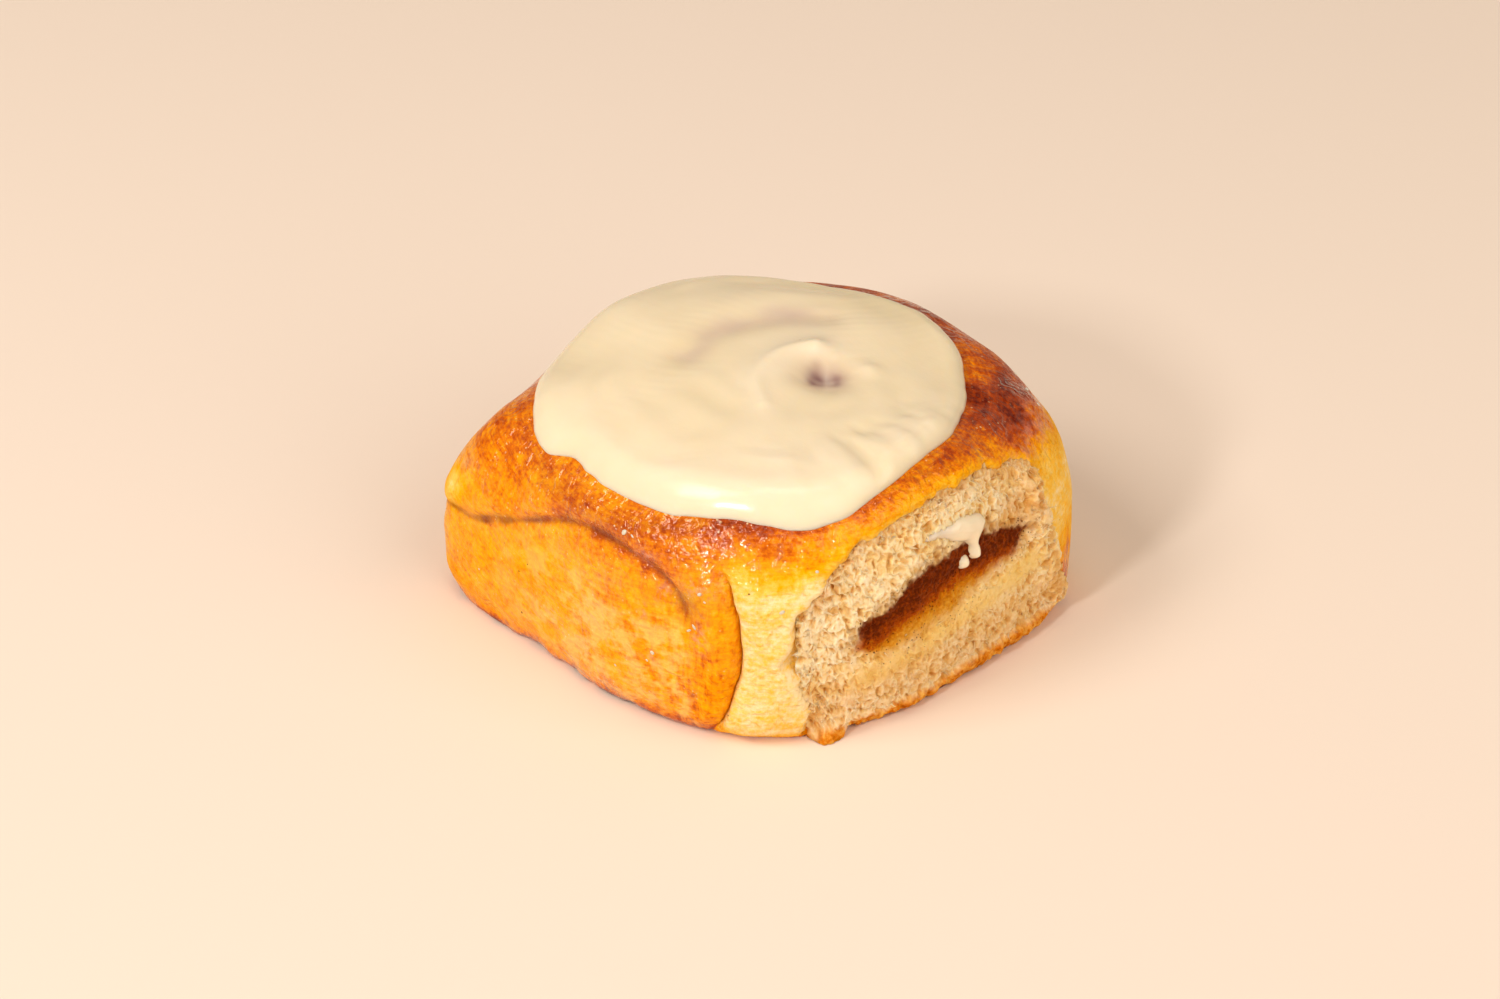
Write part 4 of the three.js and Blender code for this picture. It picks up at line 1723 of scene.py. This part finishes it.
@dataclass
class Icing:
    """The spread of icing on the crown.

    Attributes:
        form: The bun's form, which the icing lies on.
        radius: How far it reaches from its middle.
        thickness: How thick it is.
        lobes: Where its edge runs further or less far.
        hollow: The middle of the hollow that the spatula left, in X and Y.
        ridge: The ridge left of the hollow, as points in X and Y.
        smear: The line where the spatula pressed the icing thin, as points in X and Y.
        columns: How many columns its grid has.
        under_rings: How many rings its underside has.
        rim_rings: How many rings its rounded rim has.
        top_rings: How many rings its top has inside the rim.
    """

    form: BunForm
    radius: float = 43.0
    thickness: float = 2.6
    lobes: tuple[Lobe, ...] = (
        Lobe(-30, 24, 4.6),
        Lobe(-130, 20, 1.0),
        Lobe(-92, 16, -2.2),
        Lobe(-105, 6, -1.3),
        Lobe(52, 42, -3.0),
        Lobe(112, 28, -6.0),
        Lobe(175, 30, -2.0),
    )
    hollow: tuple[float, float] = (9.6, 5.0)
    ridge: Outline = ((2, 10), (-0.5, 6), (-1, 1), (2, -6), (9, -11))
    smear: Outline = ((-15, -8), (-16, 2), (-13, 12), (-5, 21))
    columns: int = 460
    under_rings: int = 12
    rim_rings: int = 34
    top_rings: int = 116

    def edge_radius(self, azimuth: Array) -> Array:
        """The edge's distance from the middle: the base radius, the lobes and a few small waves."""
        degrees = np.degrees(azimuth)
        radius = np.full(azimuth.shape, self.radius)
        for lobe in self.lobes:
            radius += lobe.reach * bell(degrees_apart(degrees, lobe.azimuth), lobe.spread)
        ring = np.stack([40.0 * np.cos(azimuth), 40.0 * np.sin(azimuth), 0.0 * azimuth], axis=-1)
        ragged = 0.35 + 1.4 * bell(degrees_apart(degrees, -106.0), 13.0)
        return radius + 0.5 * noise(ring, 9.0, 101) + 0.45 * ragged * noise(ring, 3.2, 102)

    def from_hollow(self, x: Array, y: Array) -> Array:
        """The distance to the hollow's middle, a little less along X."""
        return np.hypot((x - self.hollow[0]) * 0.9, y - self.hollow[1])

    def thickness_at(self, x: Array, y: Array) -> Array:
        """How thick the icing is over places of the crown, before its edge rounds off.

        Args:
            x: The places' X.
            y: The places' Y.

        Returns:
            The thickness in mm: level, with slow waves, the hollow and its ridges, the spatula's
            arcs, lumps along its right edge and a fat front edge.
        """
        flat = np.stack([x, y, 0.0 * x], axis=-1)
        warp = np.stack([noise(flat, 16.0, 111), noise(flat, 16.0, 112), 0.0 * x], axis=-1)
        warped = flat + 3.0 * warp
        wx, wy = warped[..., 0], warped[..., 1]
        t = self.thickness + 0.35 * noise(flat, 19.0, 113) + 0.12 * noise(flat, 7.0, 114)

        from_hollow = self.from_hollow(x, y)
        turn = np.arctan2(wy - self.hollow[1], wx - self.hollow[0])
        t -= 2.2 * bell(from_hollow, 4.6) * (0.85 + 0.15 * noise(flat, 3.0, 118))
        t += 0.35 * bell(from_hollow - 8.5, 3.5) * (0.5 + 0.5 * np.cos(turn + math.radians(160)))
        ridge = distance_to_curve(x, y, smooth_curve(self.ridge, False))[0]
        t += bumps(ridge, (0.35, 0.0, 1.6), (0.4, 0.0, 4.0))
        peak = spot(x, y, (3.0, 10.0), (3.2, 2.8))
        knob = spot(x, y, (14.0, 12.5), (2.8, 2.4))
        t += 0.7 * peak + 0.6 * knob
        smear = distance_to_curve(x, y, smooth_curve(self.smear, False))[0]
        t -= 0.8 * bell(smear, 4.5)

        swirl = np.hypot(wx - 4.0, wy - 2.0)
        patchy = smoothstep(-0.4, 0.6, noise(flat, 13.0, 117))
        arcs = 0.12 * patchy * np.sin(2.0 * np.pi * swirl / 8.5 + 1.5 * turn)
        t += arcs * smoothstep(8.0, 16.0, swirl)
        strokes = np.hypot(wx + 30.0, wy - 40.0)
        fine_arcs = 0.012 * np.sin(2.0 * np.pi * strokes / 2.6)
        t += fine_arcs * smoothstep(0.0, 0.6, noise(flat, 11.0, 115))

        azimuth = np.degrees(np.arctan2(y, x + 3.2))
        out = np.hypot(x + 3.2, y)
        lumpy = bell(azimuth + 8.0, 22.0) * smoothstep(27.0, 36.0, out)
        stretched = np.stack([out * 0.5, azimuth * 0.7, 0.0 * x], axis=-1)
        t += lumpy * 1.0 * layered_noise(stretched, 5.0, 2, 116)
        t += 0.75 * bell(azimuth + 60.0, 38.0) * smoothstep(28.0, 40.0, out)
        t -= 1.3 * bell(azimuth - 95.0, 45.0) * smoothstep(22.0, 38.0, out)
        return t

    def grid(self) -> tuple[Array, Array]:
        """The icing's rings, from the middle of its underside out and back to the middle of its
        top.

        The rim turns over like a quarter of an ellipse, 3 to 5 mm wide, and the underside follows
        the crown.

        Returns:
            The grid, and the thickness over each of its places.
        """
        azimuth = np.linspace(-np.pi, np.pi, self.columns, endpoint=False)[None, :]
        edge = self.edge_radius(azimuth)
        inner = 1.0 - np.arange(1, self.under_rings + 1) / self.under_rings
        share = (1.0 - inner**1.5)[:, None] * 0.985
        rim_width = 4.2 + 1.0 * np.cos(azimuth + math.radians(60))
        angle = (0.5 * np.pi * (np.arange(self.rim_rings) + 0.4) / self.rim_rings)[:, None]
        inward = (np.arange(1, self.top_rings + 1) / (self.top_rings + 1))[:, None]

        under_r = edge * share
        rim_r = edge - rim_width * (1.0 - np.cos(angle))
        top_r = (edge - rim_width) * (1.0 - inward)
        radius = np.concatenate([under_r, rim_r, top_r])
        x = self.form.icing_middle[0] + radius * np.cos(azimuth)
        y = self.form.icing_middle[1] + radius * np.sin(azimuth)
        thickness = np.maximum(self.thickness_at(x, y), 0.5)
        even = np.ones_like(edge)
        rise = np.concatenate([0.0 * under_r, np.sin(angle) ** 0.9 * even, np.ones_like(top_r)])
        rim_tuck = 0.25 * (1.0 - np.sin(angle)) * even
        tuck = np.concatenate([0.25 * share**6 * even, rim_tuck, 0.0 * top_r])
        lift = 0.05 + thickness * rise
        return np.stack([x, y, self.form.crown_at(x, y) + lift - tuck], axis=-1), thickness

    def marks(self, x: Array, y: Array, thickness: Array) -> dict[str, Array]:
        """What the icing's material needs to know at each point.

        Args:
            x: The grid's X.
            y: The grid's Y.
            thickness: How thick the icing is there.

        Returns:
            hole, the hollow's bottom; thin, where the crust greys it; hollow, its yellower dips.
        """
        smear = distance_to_curve(x, y, smooth_curve(self.smear, False))[0]
        flat = np.stack([x, y, 0.0 * x], axis=-1)
        smeared = bell(smear + 1.2 * noise(flat, 5.0, 122), 3.4)
        smeared = smeared * (0.7 + 0.5 * noise(flat, 6.0, 123))
        across = ((x - self.hollow[0]) + (y - self.hollow[1])) / math.sqrt(2.0)
        along = ((y - self.hollow[1]) - (x - self.hollow[0])) / math.sqrt(2.0)
        bottom = spot(across, along, (-1.6, 0.0), (1.6, 3.4))
        beside = spot(across, along, (2.2, 0.0), (1.8, 3.0))
        hole = 1.15 * np.maximum(bottom, 0.6 * beside) * (0.85 + 0.4 * noise(flat, 1.8, 121))
        sides = np.maximum(beside, bell(self.from_hollow(x, y), 4.4))
        return {
            "hole": np.clip(hole, 0.0, 0.95),
            "thin": np.clip(0.55 * smeared + 0.75 * sides, 0.0, 1.0),
            "hollow": np.clip(0.5 - 0.55 * (thickness - self.thickness), 0.0, 1.0),
        }

    def build(self) -> bpy.types.Object:
        """Builds the icing and dresses it."""
        grid, thickness = self.grid()
        low = np.array([*self.form.icing_middle, grid[0, :, 2].mean()])
        high = np.array([*self.form.icing_middle, grid[-1, :, 2].mean()])
        marks = self.marks(grid[..., 0], grid[..., 1], thickness)
        piece = round_skin("icing_spread", low, grid, high, marks)
        piece.data.materials.append(CreamIcing().build())
        return piece


@dataclass
class IcingSplash:
    """The splash of icing on the torn side, with a drip that hangs down and a drop below it.

    Attributes:
        form: The bun's form.
        outline: The splash's outline, as points in Y and Z.
        drop: The drop's Y, Z and radius.
        thickness: How thick the splash is.
        reach: The lowest and highest Y and Z that its grid covers.
        size: How many columns and rows its grid has.
    """

    form: BunForm
    outline: Outline = (
        (-6.5, 37.6), (-4.5, 38.6), (-1.0, 38.5), (2.0, 38.6), (5.2, 37.8), (8.0, 37.0),
        (9.0, 35.6), (8.0, 33.8), (6.9, 32.2), (6.9, 30.2), (6.6, 28.8), (5.4, 28.4), (4.6, 29.6),
        (4.9, 31.6), (3.6, 33.0), (1.4, 34.0), (-1.0, 35.4), (-3.6, 36.8),
    )
    drop: tuple[float, float, float] = (2.9, 28.6, 1.25)
    thickness: float = 1.5
    reach: tuple[float, float, float, float] = (-9.0, 11.0, 26.0, 41.0)
    size: tuple[int, int] = (150, 120)

    def build(self) -> bpy.types.Object:
        """Builds the splash and dresses it: it domes up from its outline and sinks round it."""
        low_y, high_y, low_z, high_z = self.reach
        columns, rows = self.size
        across, up = np.linspace(low_y, high_y, columns), np.linspace(low_z, high_z, rows)
        base = side_grid(self.form, across, up)
        y, z = base[..., 1], base[..., 2]
        inside = -signed_distance(y, z, smooth_curve(self.outline, True))
        inside = inside + 0.25 * noise(base, 1.6, 131)
        drop_y, drop_z, radius = self.drop
        inside = np.maximum(inside, radius - np.hypot(y - drop_y, (z - drop_z) * 0.9))
        thin_film = smoothstep(2.0, -3.0, y) * smoothstep(34.0, 37.0, z)
        full = self.thickness * (1.0 - 0.6 * thin_film)
        dome = full * (1.0 - np.exp(-np.maximum(inside, 0.0) / 0.7))
        bead = 0.5 * spot(y, z, (6.0, 29.5), (1.1, 1.3))
        ripple = 0.12 * noise(base, 2.0, 132)
        shift = -1.1 + dome + bead + ripple - 3.0 * smoothstep(0.0, -0.8, inside)
        shaped = base + grid_normals(base, False) * shift[..., None]
        blank = 0.0 * y
        marks = {"thin": 0.35 * thin_film, "hole": blank, "hollow": 0.2 + blank}
        piece = slab_skin("icing_splash_drop", shaped, np.array([42.0, 1.0, 33.0]), marks)
        piece.data.materials.append(CreamIcing().build())
        return piece


@dataclass
class IcingSpecks:
    """Small stray drops of icing on the crust and the torn side.

    Attributes:
        bun: The finished bun.
        drops: Each drop's direction in degrees, height and size in mm.
        rings: How many rings each drop has.
        columns: How many columns it has.
    """

    bun: Bun
    drops: tuple[tuple[float, float, float], ...] = (
        (-18.8, 40.6, 0.9), (-33.9, 37.6, 0.6), (-41.4, 31.1, 0.8), (16.3, 31.0, 0.6),
        (-14.6, 19.0, 0.9), (-17.6, 18.4, 0.5), (-79.7, 38.0, 0.9), (-77.5, 37.6, 0.5),
        (-58.1, 33.0, 0.7), (-57.4, 31.6, 0.5), (-69.5, 16.6, 0.8), (-70.6, 14.0, 0.5),
        (-59.6, 25.6, 0.7), (-60.4, 24.0, 0.6), (-79.0, 10.0, 0.5), (58.0, 42.5, 0.7),
        (52.0, 42.0, 0.8), (48.0, 41.0, 0.6), (63.0, 42.5, 0.5), (1.8, 43.0, 0.5),
        (-160.0, 30.0, 0.6), (150.0, 36.0, 0.7), (110.0, 38.0, 0.6), (-122.0, 12.0, 0.4),
    )
    rings: int = 5
    columns: int = 9

    def build(self) -> bpy.types.Object:
        """Builds the drops and dresses them: flattened domes, each a little longer one way."""
        rng = np.random.default_rng(5)
        polar = np.linspace(0.12, 0.88, self.rings)[:, None] * np.pi
        turn = (2.0 * np.pi * np.arange(self.columns) / self.columns)[None, :]
        shapes = []
        for azimuth, height, size in self.drops:
            place, out = self.bun.nearest(azimuth, height)
            across = np.cross([0.0, 0.0, 1.0], out)
            across /= np.linalg.norm(across)
            upward = np.cross(out, across)
            spin, long = rng.uniform(0.0, np.pi), rng.uniform(1.0, 1.8)
            one = across * math.cos(spin) + upward * math.sin(spin)
            two = np.cross(out, one)
            reach = size * 0.5 * np.sin(polar) * (1.0 + 0.25 * np.sin(turn * 2.0 + spin * 3.0))
            flat = one * (long * reach * np.cos(turn))[..., None]
            flat = flat + two * (reach * np.sin(turn))[..., None]
            dome = size * 0.28 * np.cos(polar) * np.ones_like(turn)
            shapes.append(place + flat - out * dome[..., None])
        blank = {mark: np.zeros(len(shapes)) for mark in ("thin", "hole", "hollow")}
        piece = many_shapes("icing_drops", np.array(shapes), blank)
        piece.data.materials.append(CreamIcing().build())
        return piece


# ----------------------------------------------------------------------------
# The studio
# ----------------------------------------------------------------------------


@dataclass(frozen=True)
class Lamp:
    """A square soft light that points at the roll.

    Attributes:
        name: The light's name.
        azimuth: Its direction in degrees, counted from the camera's.
        elevation: Its height over the horizon in degrees.
        size: The square's side in metres.
        share: How far it alone lights the floor, where 1 shows the floor in its own colour.
        colour: Its sRGB colour.
    """

    name: str
    azimuth: float
    elevation: float
    size: float
    share: float
    colour: str


@dataclass
class Studio:
    """The pale floor, the soft lights and the camera.

    Attributes:
        azimuth: The camera's direction in degrees. 0 looks along +Y.
        elevation: Its height over the horizon in degrees.
        distance: Its distance from the point that it looks at, in metres.
        lens: Its focal length in mm.
        sensor: The width of its sensor in mm.
        aim: The point that it looks at, in mm.
        aim_shift: How far that point is moved right and up in the view, in mm.
        lamp_distance: How far away the lights are, in metres.
        lamps: The lights. The glint is small, so that the syrup on the crust sparkles.
        floor_side: Half the floor's side in mm.
        room: The colour of the light from all sides.
        room_strength: How strong that light is.
    """

    azimuth: float = 45.7
    elevation: float = 34.0
    distance: float = 0.7007
    lens: float = 85.0
    sensor: float = 36.0
    aim: tuple[float, float, float] = (-3.63, 0.0, 17.52)
    aim_shift: tuple[float, float] = (-1.39, 1.09)
    lamp_distance: float = 1.6
    lamps: tuple[Lamp, ...] = (
        Lamp("key", -68.0, 48.0, 0.6, 0.25, "FFF8F0"),
        Lamp("fill", 50.0, 36.0, 1.6, 0.25, "FFF8F0"),
        Lamp("glint", -36.0, 30.0, 0.2, 0.14, "FFFFFF"),
        Lamp("top", -20.0, 80.0, 0.5, 0.07, "FFFFFF"),
    )
    floor_side: float = 6000.0
    room: str = "FFF3E6"
    room_strength: float = 0.29

    @staticmethod
    def direction(azimuth: float, elevation: float) -> Vector:
        """The way from the roll to something at an azimuth and elevation in degrees."""
        a, e = math.radians(azimuth), math.radians(elevation)
        return Vector((math.sin(a) * math.cos(e), -math.cos(a) * math.cos(e), math.sin(e)))

    def axes(self) -> tuple[Vector, Vector, Vector]:
        """The camera's right, up and back directions."""
        back = self.direction(self.azimuth, self.elevation)
        a = math.radians(self.azimuth)
        right = Vector((math.cos(a), math.sin(a), 0.0))
        return right, back.cross(right), back

    def add_camera(self) -> None:
        """Adds the camera and makes it the scene's."""
        right, up, back = self.axes()
        aim = Vector(self.aim) * MM + right * self.aim_shift[0] * MM + up * self.aim_shift[1] * MM
        data = bpy.data.cameras.new("camera")
        data.lens = self.lens
        data.sensor_width = self.sensor
        data.clip_end = 20.0
        camera = bpy.data.objects.new("camera", data)
        turned = Matrix((right, up, back)).transposed()
        camera.matrix_world = Matrix.Translation(aim + back * self.distance) @ turned.to_4x4()
        bpy.context.scene.collection.objects.link(camera)
        bpy.context.scene.camera = camera

    def add_lamp(self, lamp: Lamp) -> None:
        """Adds a light.

        A lamp of P watts at d metres lights a level floor to P sin(elevation) / (pi d)^2 of its
        colour.

        Args:
            lamp: What the light is like.
        """
        back = self.direction(self.azimuth + lamp.azimuth, lamp.elevation)
        data = bpy.data.lights.new(lamp.name, "AREA")
        data.shape = "SQUARE"
        data.size = lamp.size
        level = math.sin(math.radians(lamp.elevation))
        data.energy = lamp.share * (math.pi * self.lamp_distance) ** 2 / level
        data.color = linear(lamp.colour)[:3]
        light = bpy.data.objects.new(lamp.name, data)
        light.location = back * self.lamp_distance + Vector((0.0, 0.0, 0.02))
        light.rotation_mode = "QUATERNION"
        light.rotation_quaternion = (-back).to_track_quat("-Z", "Y")
        bpy.context.scene.collection.objects.link(light)

    def build(self) -> None:
        """Builds the floor, the lights, the world and the camera."""
        signs = np.array([[-1, -1, 0], [1, -1, 0], [1, 1, 0], [-1, 1, 0]])
        floor = mesh_object("floor", signs * self.floor_side, [np.array([[0, 1, 2, 3]])], {})
        floor.data.materials.append(PaperBackdrop().build())
        for lamp in self.lamps:
            self.add_lamp(lamp)
        world = bpy.data.worlds.new("room")
        world.use_nodes = True
        background = world.node_tree.nodes["Background"]
        background.inputs["Color"].default_value = linear(self.room)
        background.inputs["Strength"].default_value = self.room_strength
        bpy.context.scene.world = world
        bpy.context.scene.view_settings.view_transform = "Standard"
        bpy.context.scene.view_settings.look = "Medium High Contrast"
        self.add_camera()


def main() -> None:
    """Builds the roll in order and reports each piece."""
    logging.basicConfig(level=logging.INFO, format="%(name)s: %(message)s")
    low, high = (np.array(corner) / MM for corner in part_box("bun"))
    form = BunForm(half_width=-low[0], half_depth=high[1], crown_height=high[2] + BunForm.sag[0])
    torn = TornSide()
    bun = Bun(form, torn)
    skin = bun.build()
    face, strands = CrumbFace(form, torn).build()
    made = [
        (skin, "baked_dough", "bun"),
        (face, "baked_dough", "bun"),
        (strands, "baked_dough", "bun"),
        (Icing(form).build(), "icing", "icing"),
        (IcingSplash(form).build(), "icing", "icing_splash"),
        (IcingSpecks(bun).build(), "icing", "icing"),
    ]
    for piece, finish, node in made:
        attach(piece, "root")
        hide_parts(node)
        LOG.info("%s: %d faces", piece.name, len(piece.data.polygons))
    Studio().build()


if __name__ == "__main__":
    main()
